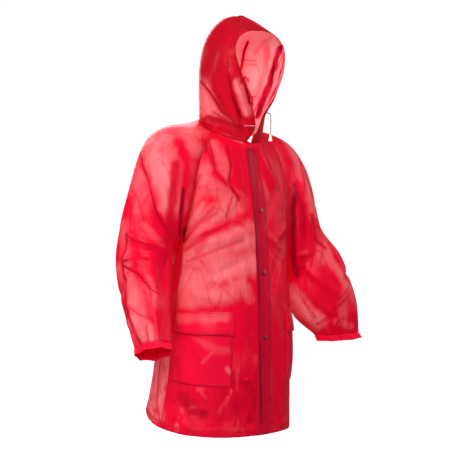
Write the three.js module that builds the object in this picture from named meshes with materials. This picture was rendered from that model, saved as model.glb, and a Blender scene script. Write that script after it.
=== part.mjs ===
// A child's hooded raincoat of thin film, hollow as if worn, in millimetres.
// The origin is the middle of the neck seam, +Z is up, and the front faces -Y.
// A turn is an angle round the body: 0 at the front, 90 at the wearer's left, 180 at the back.
import * as THREE from "three";

const WALL = 1.2; // thickness of every panel
const SEAM_GAP = 0.3; // between two panels that are sewn together

// The neck seam, a ring that is higher at the back.
const NECK = { halfWidth: 74, halfDepth: 74, middleZ: -5, rise: 36 };
// Where the raglan seams leave the neck ring.
const RAGLAN_FRONT = 72;
const RAGLAN_BACK = 124;
// How the cloth leaves the neck: the share that goes outwards, the share that goes down, and the pull.
const LEAVING_NECK = [
  { turn: 0, out: 0.1, down: 1, pull: 170 },
  { turn: 40, out: 0.6, down: 0.75, pull: 175 },
  { turn: 72, out: 1, down: 0.26, pull: 200 },
  { turn: 98, out: 1, down: -0.02, pull: 440 },
  { turn: 124, out: 0.95, down: 0.02, pull: 360 },
  { turn: 180, out: 0.5, down: 0.75, pull: 240 },
];

// The body's rings from the chest to the hem.
const CHEST_DOWN = 215;
const HEM_DOWN = 715;
const BODY = [
  { down: 215, halfWidth: 156, halfDepth: 92, x: 0, y: -12, square: 2.3 },
  { down: 330, halfWidth: 150, halfDepth: 112, x: 0, y: 0, square: 2.2 },
  { down: 420, halfWidth: 164, halfDepth: 127, x: 0, y: 9, square: 2.2 },
  { down: 600, halfWidth: 170, halfDepth: 140, x: -6, y: 18, square: 2.2 },
  { down: 715, halfWidth: 180, halfDepth: 150, x: -12, y: 28, square: 2.2 },
];
const HEM = [
  { turn: -180, down: 688 },
  { turn: -130, down: 672 },
  { turn: -85, down: 700 },
  { turn: 0, down: 716 },
  { turn: 90, down: 720 },
  { turn: 180, down: 688 },
];

// The sleeves' rings below the armpit: middle, half sizes outwards and forwards, lean of the ring, and its twist.
const RIGHT_SLEEVE = [
  { at: 0, x: -220, y: 13, z: -190, wide: 64, deep: 66, out: 20, fore: -6, twist: 0 },
  { at: 0.2, x: -229, y: 22, z: -252, wide: 66, deep: 66, out: 14, fore: -4, twist: 0 },
  { at: 0.4, x: -236, y: 26, z: -312, wide: 66, deep: 67, out: 14, fore: 8, twist: 0 },
  { at: 0.6, x: -250, y: 6, z: -372, wide: 59, deep: 62, out: 13, fore: 22, twist: 0 },
  { at: 0.8, x: -264, y: -24, z: -434, wide: 49, deep: 52, out: 13, fore: 26, twist: 0 },
  { at: 1, x: -279, y: -58, z: -498, wide: 37, deep: 37, out: 12, fore: 26, twist: 0 },
];
const LEFT_SLEEVE = [
  { at: 0, x: 219, y: 10, z: -190, wide: 64, deep: 64, out: 20, fore: -4, twist: 0 },
  { at: 0.2, x: 230, y: -2, z: -256, wide: 63, deep: 64, out: 18, fore: 6, twist: 20 },
  { at: 0.42, x: 258, y: -26, z: -330, wide: 76, deep: 62, out: 16, fore: 8, twist: 42 },
  { at: 0.62, x: 270, y: -38, z: -394, wide: 84, deep: 58, out: 12, fore: 8, twist: 42 },
  { at: 0.8, x: 284, y: -50, z: -450, wide: 82, deep: 46, out: 10, fore: 6, twist: 42 },
  { at: 1, x: 306, y: -70, z: -509, wide: 56, deep: 20, out: 6, fore: 0, twist: 42 },
];
// How the raglan seams come into the armpit.
const INTO_ARMPIT = { front: [0, 150, -150], back: [0, -120, -180] };

// The gathered ends of the sleeves, past the elastic.
const CUFF = { length: 17, flare: 2, gathers: 14, rows: 2, pointsPerGather: 4, depth: 2.4 };
const SLEEVE_GATHER = { from: 0.72, gathers: 7, depth: 3 };

// The hood's sections from the neck to the crown: its face edge, its widest point, and the middle seam.
const HOOD = [
  { at: 0, edge: 2, edgeY: -71, edgeZ: -38, side: 73, sideY: 0, sideZ: -5, seamY: 74, seamZ: 31 },
  { at: 0.14, edge: 5, edgeY: -92, edgeZ: 6, side: 84, sideY: -8, sideZ: 38, seamY: 68, seamZ: 62 },
  { at: 0.29, edge: 38, edgeY: -108, edgeZ: 62, side: 93, sideY: -16, sideZ: 84, seamY: 61, seamZ: 100 },
  { at: 0.43, edge: 66, edgeY: -110, edgeZ: 114, side: 96, sideY: -20, sideZ: 130, seamY: 56, seamZ: 142 },
  { at: 0.57, edge: 80, edgeY: -106, edgeZ: 162, side: 92, sideY: -24, sideZ: 176, seamY: 47, seamZ: 186 },
  { at: 0.71, edge: 70, edgeY: -107, edgeZ: 193, side: 76, sideY: -30, sideZ: 219, seamY: 32, seamZ: 222 },
  { at: 0.86, edge: 40, edgeY: -111, edgeZ: 212, side: 42, sideY: -40, sideZ: 252, seamY: 17, seamZ: 247 },
  { at: 1, edge: 0, edgeY: -113, edgeZ: 217, side: 0, sideY: -45, sideZ: 263, seamY: 0, seamZ: 262 },
];
// The storm flap over the opening, in mm to each side of the middle, and its press studs.
const PLACKET = { toRight: 21, toLeft: 20, firstRow: 0.7, thickness: 1.2, gap: 1.1 };
const SNAP = { radius: 6, height: 2.6, rows: [7.3, 12.6, 18], gap: 0.35 };

// The patch pockets, in mm round from the middle of the front, and in rows of the fronts' grid.
const POCKET = { start: 88, width: 140, firstRow: 16.3, lastRow: 21.9, puff: 6, thickness: 1.2, gap: 0.4 };
const FLAP = { margin: 3, firstRow: 15.8, lastRow: 17.7, lift: 2, thickness: 1.2, gap: 0.5 };

// The drawcord's free ends: the way from the hood's edge down to the stopper, and the stopper.
const CORD = { diameter: 2.4, sides: 8, steps: 24, gap: 0.95 };
const CORD_RIGHT = { at: 0.11, back: 0.1, way: [[-13, -106, -6], [-19, -104, -18], [-23, -101, -28]] };
const CORD_LEFT = { at: 0.2, back: 0.12, way: [[24, -114, 24], [25, -114, 2], [25, -113, -22]] };
const STOPPER = { length: 15, topRadius: 2.6, bottomRadius: 5.2, gap: 0.4 };

// The largest folds, in mm across and up a view from the turn given, on one panel: negative depth is a trough.
const FOLDS = [
  { panel: "sleeve_right", view: -42, u0: -207, z0: -70, u1: -170, z1: -195, width: 30, depth: -6 },
  { panel: "sleeve_right", view: -42, u0: -170, z0: -195, u1: -140, z1: -250, width: 28, depth: -6 },
  { panel: "sleeve_right", view: -42, u0: -246, z0: -322, u1: -165, z1: -375, width: 26, depth: -7 },
  { panel: "sleeve_right", view: -42, u0: -228, z0: -253, u1: -150, z1: -290, width: 28, depth: 6 },
  { panel: "sleeve_right", view: -42, u0: -235, z0: -390, u1: -188, z1: -480, width: 24, depth: 5 },
  { panel: "front_right", view: -42, u0: -53, z0: -40, u1: -12, z1: -150, width: 30, depth: 5 },
  { panel: "front_right", view: -42, u0: -98, z0: -200, u1: -69, z1: -110, width: 26, depth: -5 },
  { panel: "front_right", view: -42, u0: -70, z0: -280, u1: 50, z1: -250, width: 28, depth: 4 },
  { panel: "front_right", view: -42, u0: -30, z0: -345, u1: 54, z1: -305, width: 28, depth: -4 },
  { panel: "front_left", view: -42, u0: 62, z0: -45, u1: 102, z1: -140, width: 26, depth: 5 },
  { panel: "front_left", view: -42, u0: 104, z0: -160, u1: 92, z1: -230, width: 26, depth: -5 },
  { panel: "sleeve_left", view: -42, u0: 168, z0: -80, u1: 172, z1: -170, width: 26, depth: -6 },
  { panel: "sleeve_left", view: -42, u0: 180, z0: -250, u1: 262, z1: -330, width: 30, depth: -7 },
  { panel: "sleeve_left", view: -42, u0: 190, z0: -340, u1: 285, z1: -420, width: 30, depth: 7 },
  { panel: "back", view: 180, u0: -60, z0: -60, u1: -110, z1: -210, width: 32, depth: 6 },
  { panel: "back", view: 180, u0: 58, z0: -50, u1: 115, z1: -230, width: 32, depth: 6 },
  { panel: "back", view: 180, u0: -20, z0: -260, u1: -50, z1: -640, width: 40, depth: 7 },
  { panel: "back", view: 180, u0: 60, z0: -330, u1: 75, z1: -660, width: 36, depth: -7 },
  { panel: "back", view: 180, u0: -110, z0: -420, u1: -125, z1: -660, width: 30, depth: -6 },
  { panel: "sleeve_right", view: 180, u0: 190, z0: -110, u1: 240, z1: -300, width: 30, depth: -6 },
  { panel: "sleeve_left", view: 180, u0: -190, z0: -110, u1: -250, z1: -300, width: 30, depth: -6 },
];

const FILM_ROUGHNESS = 0.35;
const CLOTH_COLOURS = { panel: 0xe8152f, hood: 0xd01028, trim: 0xc40f28, stud: 0x8e0a1c, white: 0xf4f2f0 };

const degrees = Math.PI / 180;

function clamp01(v) {
  return Math.min(1, Math.max(0, v));
}

function smooth(v) {
  const t = clamp01(v);
  return t * t * (3 - 2 * t);
}

function hermite(p0, p1, m0, m1, t) {
  const t2 = t * t;
  const t3 = t2 * t;
  return (2 * t3 - 3 * t2 + 1) * p0 + (t3 - 2 * t2 + t) * m0 + (3 * t2 - 2 * t3) * p1 + (t3 - t2) * m1;
}

// All columns of a table at one value of its key, on a smooth curve through the rows.
function along(table, key, value) {
  const last = table.length - 1;
  let i = 0;
  while (i < last - 1 && value > table[i + 1][key]) i += 1;
  const before = table[Math.max(i - 1, 0)];
  const from = table[i];
  const to = table[i + 1];
  const after = table[Math.min(i + 2, last)];
  const span = to[key] - from[key];
  const t = clamp01((value - from[key]) / span);
  const row = {};
  for (const column of Object.keys(from)) {
    const slopeFrom = (to[column] - before[column]) / (to[key] - before[key]);
    const slopeTo = (after[column] - from[column]) / (after[key] - from[key]);
    row[column] = hermite(from[column], to[column], slopeFrom * span, slopeTo * span, t);
  }
  return row;
}

function neckPoint(turn) {
  const s = Math.sin(turn * degrees);
  const c = Math.cos(turn * degrees);
  return new THREE.Vector3(NECK.halfWidth * s, -NECK.halfDepth * c, NECK.middleZ - NECK.rise * c);
}

function leavingNeck(turn) {
  const wrapped = Math.abs(((turn + 540) % 360) - 180);
  const row = along(LEAVING_NECK, "turn", wrapped);
  const s = Math.sin(turn * degrees);
  const c = Math.cos(turn * degrees);
  return new THREE.Vector3(s * row.out, -c * row.out, -row.down).multiplyScalar(row.pull);
}

function bodyPoint(turn, down) {
  const row = along(BODY, "down", down);
  const s = Math.sin(turn * degrees);
  const c = Math.cos(turn * degrees);
  const power = 2 / row.square;
  const wrapped = ((turn + 540) % 360) - 180;
  const share = (down - CHEST_DOWN) / (HEM_DOWN - CHEST_DOWN);
  const hemDown = along(HEM, "turn", wrapped).down;
  return new THREE.Vector3(
    row.x + row.halfWidth * Math.sign(s) * Math.abs(s) ** power,
    row.y - row.halfDepth * Math.sign(c) * Math.abs(c) ** power,
    -(CHEST_DOWN + share * (hemDown - CHEST_DOWN)),
  );
}

function armpit(side) {
  return bodyPoint(side * 90, CHEST_DOWN);
}

// A point of a sleeve's ring. The angle starts under the arm and goes round by the front.
function ringPoint(table, side, at, angle) {
  const row = along(table, "at", at);
  const axis = new THREE.Vector3(
    side * Math.tan(row.out * degrees),
    -Math.tan(row.fore * degrees),
    -1,
  ).normalize();
  const outwards = new THREE.Vector3(side, 0, 0);
  outwards.addScaledVector(axis, -outwards.dot(axis)).normalize();
  const forwards = new THREE.Vector3().crossVectors(outwards, axis).multiplyScalar(-side).normalize();
  const a = angle * degrees;
  const turned = Math.PI - a - row.twist * degrees;
  const plain = 1 / Math.hypot(Math.cos(turned) / row.wide, Math.sin(turned) / row.deep);
  const gathered = smooth((at - SLEEVE_GATHER.from) / (1 - SLEEVE_GATHER.from));
  const radius = plain + SLEEVE_GATHER.depth * gathered * Math.cos(a * SLEEVE_GATHER.gathers);
  const p = new THREE.Vector3(row.x, row.y, row.z);
  p.addScaledVector(outwards, -radius * Math.cos(a));
  p.addScaledVector(forwards, radius * Math.sin(a));
  return p;
}

// The same ring, drawn to the armpit's point where it starts.
function sleeveTube(table, side, at, angle) {
  const p = ringPoint(table, side, at, angle);
  const pull = armpit(side).sub(ringPoint(table, side, 0, 0));
  const near = ((1 + Math.cos(angle * degrees)) / 2) ** 2;
  return p.addScaledVector(pull, near * (1 - smooth(at / 0.3)));
}

// A line of the yoke from the neck ring to an end point, leaving and arriving along its tangents.
function yokePoint(turn, end, arriving, t) {
  const start = neckPoint(turn);
  const leaving = leavingNeck(turn);
  return new THREE.Vector3(
    hermite(start.x, end.x, leaving.x, arriving.x, t),
    hermite(start.y, end.y, leaving.y, arriving.y, t),
    hermite(start.z, end.z, leaving.z, arriving.z, t),
  );
}

const YOKE_PULL = 185;
const SHOULDER_PULL = 400;

function arrivingAt(end, below, pull, seam, nearSeam) {
  const arriving = below.sub(end).normalize().multiplyScalar(pull);
  return arriving.lerp(new THREE.Vector3(...INTO_ARMPIT[seam]), nearSeam);
}

// The fronts and the back above the chest: the turn at the chest gives the turn at the neck.
function bodyYoke(seam, chestTurn, t) {
  const wrapped = ((chestTurn + 540) % 360) - 180;
  const side = Math.sign(wrapped) || 1;
  const size = Math.abs(wrapped);
  const neckTurn =
    seam === "front" ? (size / 90) * RAGLAN_FRONT : RAGLAN_BACK + ((size - 90) / 90) * (180 - RAGLAN_BACK);
  const end = bodyPoint(chestTurn, CHEST_DOWN);
  const nearSeam = clamp01(1 - Math.abs(size - 90) / 60) ** 2;
  const arriving = arrivingAt(end, bodyPoint(chestTurn, CHEST_DOWN + 10), YOKE_PULL, seam, nearSeam);
  return yokePoint(side * neckTurn, end, arriving, t);
}

// A sleeve above the armpit. The angle starts at the front raglan seam and ends at the back one.
function sleeveYoke(table, side, angle, t) {
  const neckTurn = side * (RAGLAN_FRONT + (angle / 360) * (RAGLAN_BACK - RAGLAN_FRONT));
  const end = sleeveTube(table, side, 0, angle);
  const nearSeam = clamp01(1 - Math.min(angle, 360 - angle) / 70) ** 2;
  const seam = angle < 180 ? "front" : "back";
  const arriving = arrivingAt(end, sleeveTube(table, side, 0.03, angle), SHOULDER_PULL, seam, nearSeam);
  return yokePoint(neckTurn, end, arriving, t);
}

// The hood's surface: at goes from the neck to the crown, back from the face edge to the middle seam.
function hoodPoint(side, at, back) {
  const row = along(HOOD, "at", at);
  const toSide = row.sideY - row.edgeY;
  const toSeam = row.seamY - row.sideY;
  const first = back < 0.5;
  const t = first ? back * 2 : back * 2 - 1;
  const x = first
    ? hermite(row.edge, row.side, (row.side - row.edge) * 1.6, 0, t)
    : hermite(row.side, 0, 0, -row.side * 1.9, t);
  const y = first
    ? hermite(row.edgeY, row.sideY, toSide * 0.9, toSide, t)
    : hermite(row.sideY, row.seamY, toSeam * 1.4, 0, t);
  const z = first
    ? hermite(row.edgeZ, row.sideZ, row.sideZ - row.edgeZ, (row.seamZ - row.edgeZ) / 2, t)
    : hermite(row.sideZ, row.seamZ, (row.seamZ - row.edgeZ) / 2, row.seamZ - row.sideZ, t);
  return new THREE.Vector3(side * x, y, z);
}

// The neck end of the hood is the neck ring itself.
function hoodOnNeck(side, at, back) {
  const p = hoodPoint(side, at, back);
  const foot = hoodPoint(side, 0, back);
  const start = Math.asin(HOOD[0].edge / NECK.halfWidth) / degrees;
  const ring = neckPoint(side * (start + (180 - start) * back));
  return p.addScaledVector(ring.sub(foot), 1 - smooth(at / 0.25));
}

// A grid of points: rows go down or along the piece, columns go round by the left.
function grid(rows, columns, pointAt) {
  const points = [];
  for (let r = 0; r <= rows; r += 1) {
    const line = [];
    for (let c = 0; c <= columns; c += 1) line.push(pointAt(r / rows, c / columns, r, c));
    points.push(line);
  }
  return points;
}

const YOKE_ROWS = 8;
const BODY_ROWS = 18;
const SLEEVE_ROWS = 13;
const FRONT_COLUMNS = 12;
const BACK_COLUMNS = 20;
const SLEEVE_COLUMNS = 28;
const HOOD_ROWS = 12;
const HOOD_COLUMNS = 11;

function bodyPanel(seam, fromTurn, toTurn, columns) {
  return grid(YOKE_ROWS + BODY_ROWS, columns, (_, across, row) => {
    const turn = fromTurn + (toTurn - fromTurn) * across;
    if (row <= YOKE_ROWS) return bodyYoke(seam, turn, row / YOKE_ROWS);
    const down = CHEST_DOWN + ((row - YOKE_ROWS) / BODY_ROWS) * (HEM_DOWN - CHEST_DOWN);
    return bodyPoint(turn, down);
  });
}

function sleevePanel(table, side) {
  return grid(YOKE_ROWS + SLEEVE_ROWS, SLEEVE_COLUMNS, (_, across, row) => {
    const angle = side > 0 ? across * 360 : 360 - across * 360;
    if (row <= YOKE_ROWS) return sleeveYoke(table, side, angle, row / YOKE_ROWS);
    return sleeveTube(table, side, (row - YOKE_ROWS) / SLEEVE_ROWS, angle);
  });
}

function hoodPanel(side) {
  return grid(HOOD_ROWS, HOOD_COLUMNS, (down, across) => {
    const back = side > 0 ? across : 1 - across;
    return hoodOnNeck(side, 1 - down, back);
  });
}

const skins = {
  front_right: bodyPanel("front", -90, 0, FRONT_COLUMNS),
  front_left: bodyPanel("front", 0, 90, FRONT_COLUMNS),
  back: bodyPanel("back", 90, 270, BACK_COLUMNS),
  sleeve_right: sleevePanel(RIGHT_SLEEVE, -1),
  sleeve_left: sleevePanel(LEFT_SLEEVE, 1),
  hood_right: hoodPanel(-1),
  hood_left: hoodPanel(1),
};

// One normal for each place, shared by all the panels that meet there.
function sharedNormals(allPoints) {
  const sums = new Map();
  const add = (a, b, c) => {
    const normal = new THREE.Vector3().subVectors(b, a).cross(new THREE.Vector3().subVectors(c, a));
    for (const p of [a, b, c]) {
      const key = placeKey(p);
      if (!sums.has(key)) sums.set(key, new THREE.Vector3());
      sums.get(key).add(normal);
    }
  };
  for (const points of allPoints) {
    for (let r = 0; r + 1 < points.length; r += 1) {
      for (let c = 0; c + 1 < points[r].length; c += 1) {
        add(points[r][c], points[r + 1][c], points[r + 1][c + 1]);
        add(points[r][c], points[r + 1][c + 1], points[r][c + 1]);
      }
    }
  }
  for (const normal of sums.values()) normal.normalize();
  return (p) => sums.get(placeKey(p)).clone();
}

function placeKey(p) {
  return [p.x, p.y, p.z].map((v) => Math.round(v * 20)).join(",");
}

// How far the folds of a panel lift the point, along its normal.
function foldDepth(panel, p, normal) {
  let sum = 0;
  for (const fold of FOLDS) {
    if (fold.panel !== panel) continue;
    const c = Math.cos(fold.view * degrees);
    const s = Math.sin(fold.view * degrees);
    const facing = normal.x * s - normal.y * c;
    if (facing <= 0) continue;
    const u = p.x * c + p.y * s;
    const du = fold.u1 - fold.u0;
    const dz = fold.z1 - fold.z0;
    const t = clamp01(((u - fold.u0) * du + (p.z - fold.z0) * dz) / (du * du + dz * dz));
    const away = Math.hypot(u - fold.u0 - t * du, p.z - fold.z0 - t * dz);
    sum += fold.depth * smooth(1 - away / fold.width) * smooth(facing * 3);
  }
  return sum;
}

const plainNormal = sharedNormals(Object.values(skins));
for (const [panel, points] of Object.entries(skins)) {
  const lastColumn = points[0].length - 1;
  points.forEach((line, r) => {
    line.forEach((p, c) => {
      if (r === 0 || c === 0 || c === lastColumn) return;
      const normal = plainNormal(p);
      p.addScaledVector(normal, foldDepth(panel, p, normal));
    });
  });
}
const normalAt = sharedNormals(Object.values(skins));

// Moves a seam's points into their own panel, so that sewn panels keep a gap.
function drawIn(points, edges) {
  const trimmed = points.map((line) => line.map((p) => p.clone()));
  const step = (p, inside) => {
    const away = new THREE.Vector3().subVectors(inside, p);
    const length = away.length();
    return away.multiplyScalar(length > 1e-6 ? SEAM_GAP / 2 / length : 0);
  };
  const lastRow = points.length - 1;
  const lastColumn = points[0].length - 1;
  for (let r = 0; r <= lastRow; r += 1) {
    if (edges.includes("first")) trimmed[r][0].add(step(points[r][0], points[r][1]));
    if (edges.includes("last"))
      trimmed[r][lastColumn].add(step(points[r][lastColumn], points[r][lastColumn - 1]));
  }
  for (let c = 0; c <= lastColumn; c += 1) {
    if (edges.includes("top")) trimmed[0][c].add(step(points[0][c], points[1][c]));
    if (edges.includes("bottom")) trimmed[lastRow][c].add(step(points[lastRow][c], points[lastRow - 1][c]));
  }
  return trimmed;
}

// A closed wall between an outer and an inner grid. A tube's columns run round and close on themselves.
function wallGeometry(outer, inner, isTube) {
  const rows = outer.length;
  const columns = outer[0].length;
  const vertices = [];
  for (const layer of [outer, inner]) {
    for (const line of layer) {
      for (const p of line) vertices.push(p.x, p.y, p.z);
    }
  }
  const index = (layer, r, c) => (layer * rows + r) * columns + (c % columns);
  const faces = [];
  const quad = (a, b, c, d) => faces.push(a, b, c, a, c, d);
  const lastColumn = isTube ? columns : columns - 1;
  for (let r = 0; r + 1 < rows; r += 1) {
    for (let c = 0; c < lastColumn; c += 1) {
      quad(index(0, r, c), index(0, r + 1, c), index(0, r + 1, c + 1), index(0, r, c + 1));
      quad(index(1, r, c), index(1, r, c + 1), index(1, r + 1, c + 1), index(1, r + 1, c));
    }
    if (!isTube) {
      quad(index(0, r, 0), index(1, r, 0), index(1, r + 1, 0), index(0, r + 1, 0));
      quad(index(0, r, lastColumn), index(0, r + 1, lastColumn), index(1, r + 1, lastColumn), index(1, r, lastColumn));
    }
  }
  const bottom = rows - 1;
  for (let c = 0; c < lastColumn; c += 1) {
    quad(index(0, 0, c), index(0, 0, c + 1), index(1, 0, c + 1), index(1, 0, c));
    quad(index(0, bottom, c), index(1, bottom, c), index(1, bottom, c + 1), index(0, bottom, c + 1));
  }
  const geometry = new THREE.BufferGeometry();
  geometry.setAttribute("position", new THREE.Float32BufferAttribute(vertices, 3));
  geometry.setIndex(faces);
  return geometry;
}

function film(colour) {
  return new THREE.MeshStandardMaterial({
    color: colour,
    roughness: FILM_ROUGHNESS,
    metalness: 0,
    transparent: true,
    opacity: 0.9,
  });
}

const group = new THREE.Group();

function addMesh(name, geometry, material) {
  const mesh = new THREE.Mesh(geometry, material);
  mesh.name = name;
  group.add(mesh);
}

const SEAMS = {
  front_right: ["first", "last", "top"],
  front_left: ["first", "last", "top"],
  back: ["first", "last", "top"],
  sleeve_right: ["first", "last", "top", "bottom"],
  sleeve_left: ["first", "last", "top", "bottom"],
  hood_right: ["first", "top", "bottom"],
  hood_left: ["last", "top", "bottom"],
};

function addPanel(name) {
  const points = skins[name];
  const outer = drawIn(points, SEAMS[name]);
  const inner = outer.map((line, r) =>
    line.map((p, c) => p.clone().addScaledVector(normalAt(points[r][c]), -WALL)),
  );
  const colour = name.startsWith("hood") ? CLOTH_COLOURS.hood : CLOTH_COLOURS.panel;
  addMesh(name, wallGeometry(outer, inner, false), film(colour));
}

for (const name of Object.keys(skins)) addPanel(name);

// A point of a panel between its grid's lines, moved out along the normal.
function onPanel(name, row, column, out) {
  const points = skins[name];
  const r = Math.min(Math.floor(row), points.length - 2);
  const c = Math.min(Math.floor(column), points[0].length - 2);
  const lift = (p) => p.clone().addScaledVector(normalAt(p), out);
  const upper = lift(points[r][c]).lerp(lift(points[r][c + 1]), column - c);
  const lower = lift(points[r + 1][c]).lerp(lift(points[r + 1][c + 1]), column - c);
  return upper.lerp(lower, row - r);
}

// The whole numbers between two values, with both values.
function withWholeNumbers(from, to) {
  const values = [from];
  for (let n = Math.floor(from) + 1; n < to; n += 1) values.push(n);
  values.push(to);
  return values;
}

// The column of a front's grid that lies some mm round from the middle of the front.
function columnAway(name, row, away) {
  const isRight = name === "front_right";
  const last = FRONT_COLUMNS;
  let walked = 0;
  for (let k = 0; k < last; k += 1) {
    const from = onPanel(name, row, isRight ? last - k : k, 0);
    const to = onPanel(name, row, isRight ? last - k - 1 : k + 1, 0);
    const length = from.distanceTo(to);
    if (walked + length >= away) {
      const share = k + (away - walked) / length;
      return isRight ? last - share : share;
    }
    walked += length;
  }
  return isRight ? 0 : last;
}

// A flat piece laid on a front: its columns are those of the front, and outAt gives its height above it.
function laidOnFront(name, rows, startAway, endAway, thickness, outAt) {
  const middle = (rows[0] + rows[rows.length - 1]) / 2;
  const ends = [columnAway(name, middle, startAway), columnAway(name, middle, endAway)].sort((a, b) => a - b);
  const columns = withWholeNumbers(ends[0], ends[1]);
  const layer = (extra) =>
    rows.map((row) =>
      columns.map((column) => {
        const across = (column - ends[0]) / (ends[1] - ends[0]);
        const down = (row - rows[0]) / (rows[rows.length - 1] - rows[0]);
        return onPanel(name, row, column, outAt(across, down, row) + extra);
      }),
    );
  return wallGeometry(layer(thickness), layer(0), false);
}

function pocketLift(across, down) {
  return POCKET.gap + POCKET.puff * Math.sin(Math.PI * clamp01(across)) * Math.sin(Math.PI * clamp01(down)) ** 0.8;
}

function addPocket(side) {
  const front = "front_" + side;
  const end = POCKET.start + POCKET.width;
  const pocketRows = withWholeNumbers(POCKET.firstRow, POCKET.lastRow);
  const bag = laidOnFront(front, pocketRows, POCKET.start, end, POCKET.thickness, pocketLift);
  addMesh("pocket_" + side, bag, film(CLOTH_COLOURS.trim));
  const flapRows = withWholeNumbers(FLAP.firstRow, FLAP.lastRow);
  const overPocket = (across, down, row) => {
    const pocketDown = (row - POCKET.firstRow) / (POCKET.lastRow - POCKET.firstRow);
    return pocketLift(across, pocketDown) + POCKET.thickness + FLAP.gap + FLAP.lift * smooth(down);
  };
  const flap = laidOnFront(
    front,
    flapRows,
    POCKET.start - FLAP.margin,
    end + FLAP.margin,
    FLAP.thickness,
    overPocket,
  );
  addMesh("pocket_flap_" + side, flap, film(CLOTH_COLOURS.trim));
}

addPocket("right");
addPocket("left");

// The storm flap, laid on both fronts along the opening. Place goes from -1 on the right to 1 on the left.
function placketPoint(row, place, out) {
  const front = place < 0 ? "front_right" : "front_left";
  const away = place < 0 ? -place * PLACKET.toRight : place * PLACKET.toLeft;
  return onPanel(front, row, columnAway(front, row, away), out);
}

const bodyRows = YOKE_ROWS + BODY_ROWS;
const placketPlaces = [-1, -0.5, 0, 0.5, 1];
const placketRows = withWholeNumbers(PLACKET.firstRow, bodyRows);
const placketLayer = (out) =>
  placketRows.map((row) => placketPlaces.map((place) => placketPoint(row, place, out)));
const placketTop = PLACKET.gap + PLACKET.thickness;
addMesh("placket", wallGeometry(placketLayer(placketTop), placketLayer(PLACKET.gap), false), film(CLOTH_COLOURS.trim));

// A press stud: a low dome that turns round its own axis and stands on the storm flap.
SNAP.rows.forEach((row, i) => {
  const profile = [
    [0, 0],
    [SNAP.radius, 0],
    [SNAP.radius, SNAP.height * 0.4],
    [SNAP.radius * 0.8, SNAP.height * 0.75],
    [SNAP.radius * 0.4, SNAP.height],
    [0, SNAP.height],
  ].map(([x, y]) => new THREE.Vector2(x, y));
  const stud = new THREE.LatheGeometry(profile, 16);
  const foot = placketPoint(row, 0, placketTop + SNAP.gap);
  const normal = placketPoint(row, 0, 1).sub(placketPoint(row, 0, 0)).normalize();
  stud.applyQuaternion(new THREE.Quaternion().setFromUnitVectors(new THREE.Vector3(0, 1, 0), normal));
  stud.translate(foot.x, foot.y, foot.z);
  addMesh("snap_" + (i + 1), stud, new THREE.MeshStandardMaterial({ color: CLOTH_COLOURS.stud, roughness: 0.4 }));
});

// The gathered end of a sleeve, a tube that follows the sleeve's last ring.
function addCuff(name, table, side) {
  const count = CUFF.gathers * CUFF.pointsPerGather;
  const middle = new THREE.Vector3();
  const ends = Array.from({ length: count }, (_, k) => sleeveTube(table, side, 1, (k / count) * 360));
  for (const p of ends) middle.addScaledVector(p, 1 / count);
  const before = new THREE.Vector3();
  for (let k = 0; k < count; k += 1) before.addScaledVector(sleeveTube(table, side, 0.95, (k / count) * 360), 1 / count);
  const axis = middle.clone().sub(before).normalize();
  const layer = (inwards) =>
    Array.from({ length: CUFF.rows + 1 }, (_, r) =>
      ends.map((p, k) => {
        const share = r / CUFF.rows;
        const wave = Math.cos((side > 0 ? k : count - k) / CUFF.pointsPerGather * 2 * Math.PI);
        const outwards = p.clone().sub(middle).normalize();
        const out = -inwards + CUFF.flare * share + CUFF.depth * wave * (0.4 + 0.6 * share);
        return p.clone().addScaledVector(outwards, out).addScaledVector(axis, SEAM_GAP + CUFF.length * share);
      }),
    );
  const outer = layer(0);
  const inner = layer(WALL);
  const order = (rows) => (side > 0 ? rows : rows.map((line) => [...line].reverse()));
  addMesh(name, wallGeometry(order(outer), order(inner), true), film(CLOTH_COLOURS.trim));
}

addCuff("cuff_right", RIGHT_SLEEVE, -1);
addCuff("cuff_left", LEFT_SLEEVE, 1);

// A free end of the drawcord: out of the hood's edge, down, and its stopper under it.
function addCord(name, side, route) {
  const start = hoodOnNeck(side, route.at, route.back);
  const byEdge = hoodOnNeck(side, route.at, route.back + 0.05).sub(start);
  const upwards = hoodOnNeck(side, route.at + 0.03, route.back).sub(start);
  const outwards = new THREE.Vector3().crossVectors(byEdge, upwards).multiplyScalar(side).normalize();
  const points = [start.clone().addScaledVector(outwards, CORD.gap), start.clone().addScaledVector(outwards, 4)];
  for (const p of route.way) points.push(new THREE.Vector3(...p));
  const circle = new THREE.Shape(
    Array.from({ length: CORD.sides }, (_, k) => {
      const a = (k / CORD.sides) * 2 * Math.PI;
      return new THREE.Vector2(Math.cos(a), Math.sin(a)).multiplyScalar(CORD.diameter / 2);
    }),
  );
  const path = new THREE.CatmullRomCurve3(points, false, "centripetal");
  const cord = new THREE.ExtrudeGeometry(circle, { steps: CORD.steps, extrudePath: path, bevelEnabled: false });
  const white = () => new THREE.MeshStandardMaterial({ color: CLOTH_COLOURS.white, roughness: 0.5 });
  addMesh("cord_" + name, cord, white());
  const end = points[points.length - 1];
  const along = path.getTangent(1);
  const bell = [
    [0, 0],
    [STOPPER.topRadius, 0],
    [STOPPER.topRadius * 1.2, STOPPER.length * 0.4],
    [STOPPER.bottomRadius, STOPPER.length],
    [0, STOPPER.length],
  ].map(([x, y]) => new THREE.Vector2(x, y));
  const stopper = new THREE.LatheGeometry(bell, 12);
  stopper.applyQuaternion(new THREE.Quaternion().setFromUnitVectors(new THREE.Vector3(0, 1, 0), along));
  const foot = end.clone().addScaledVector(along, STOPPER.gap);
  stopper.translate(foot.x, foot.y, foot.z);
  addMesh("stopper_" + name, stopper, white());
}

addCord("right", -1, CORD_RIGHT);
addCord("left", 1, CORD_LEFT);

export default group;
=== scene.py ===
"""A child's hooded raincoat of thin red vinyl film, hollow as worn."""

import math

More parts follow.
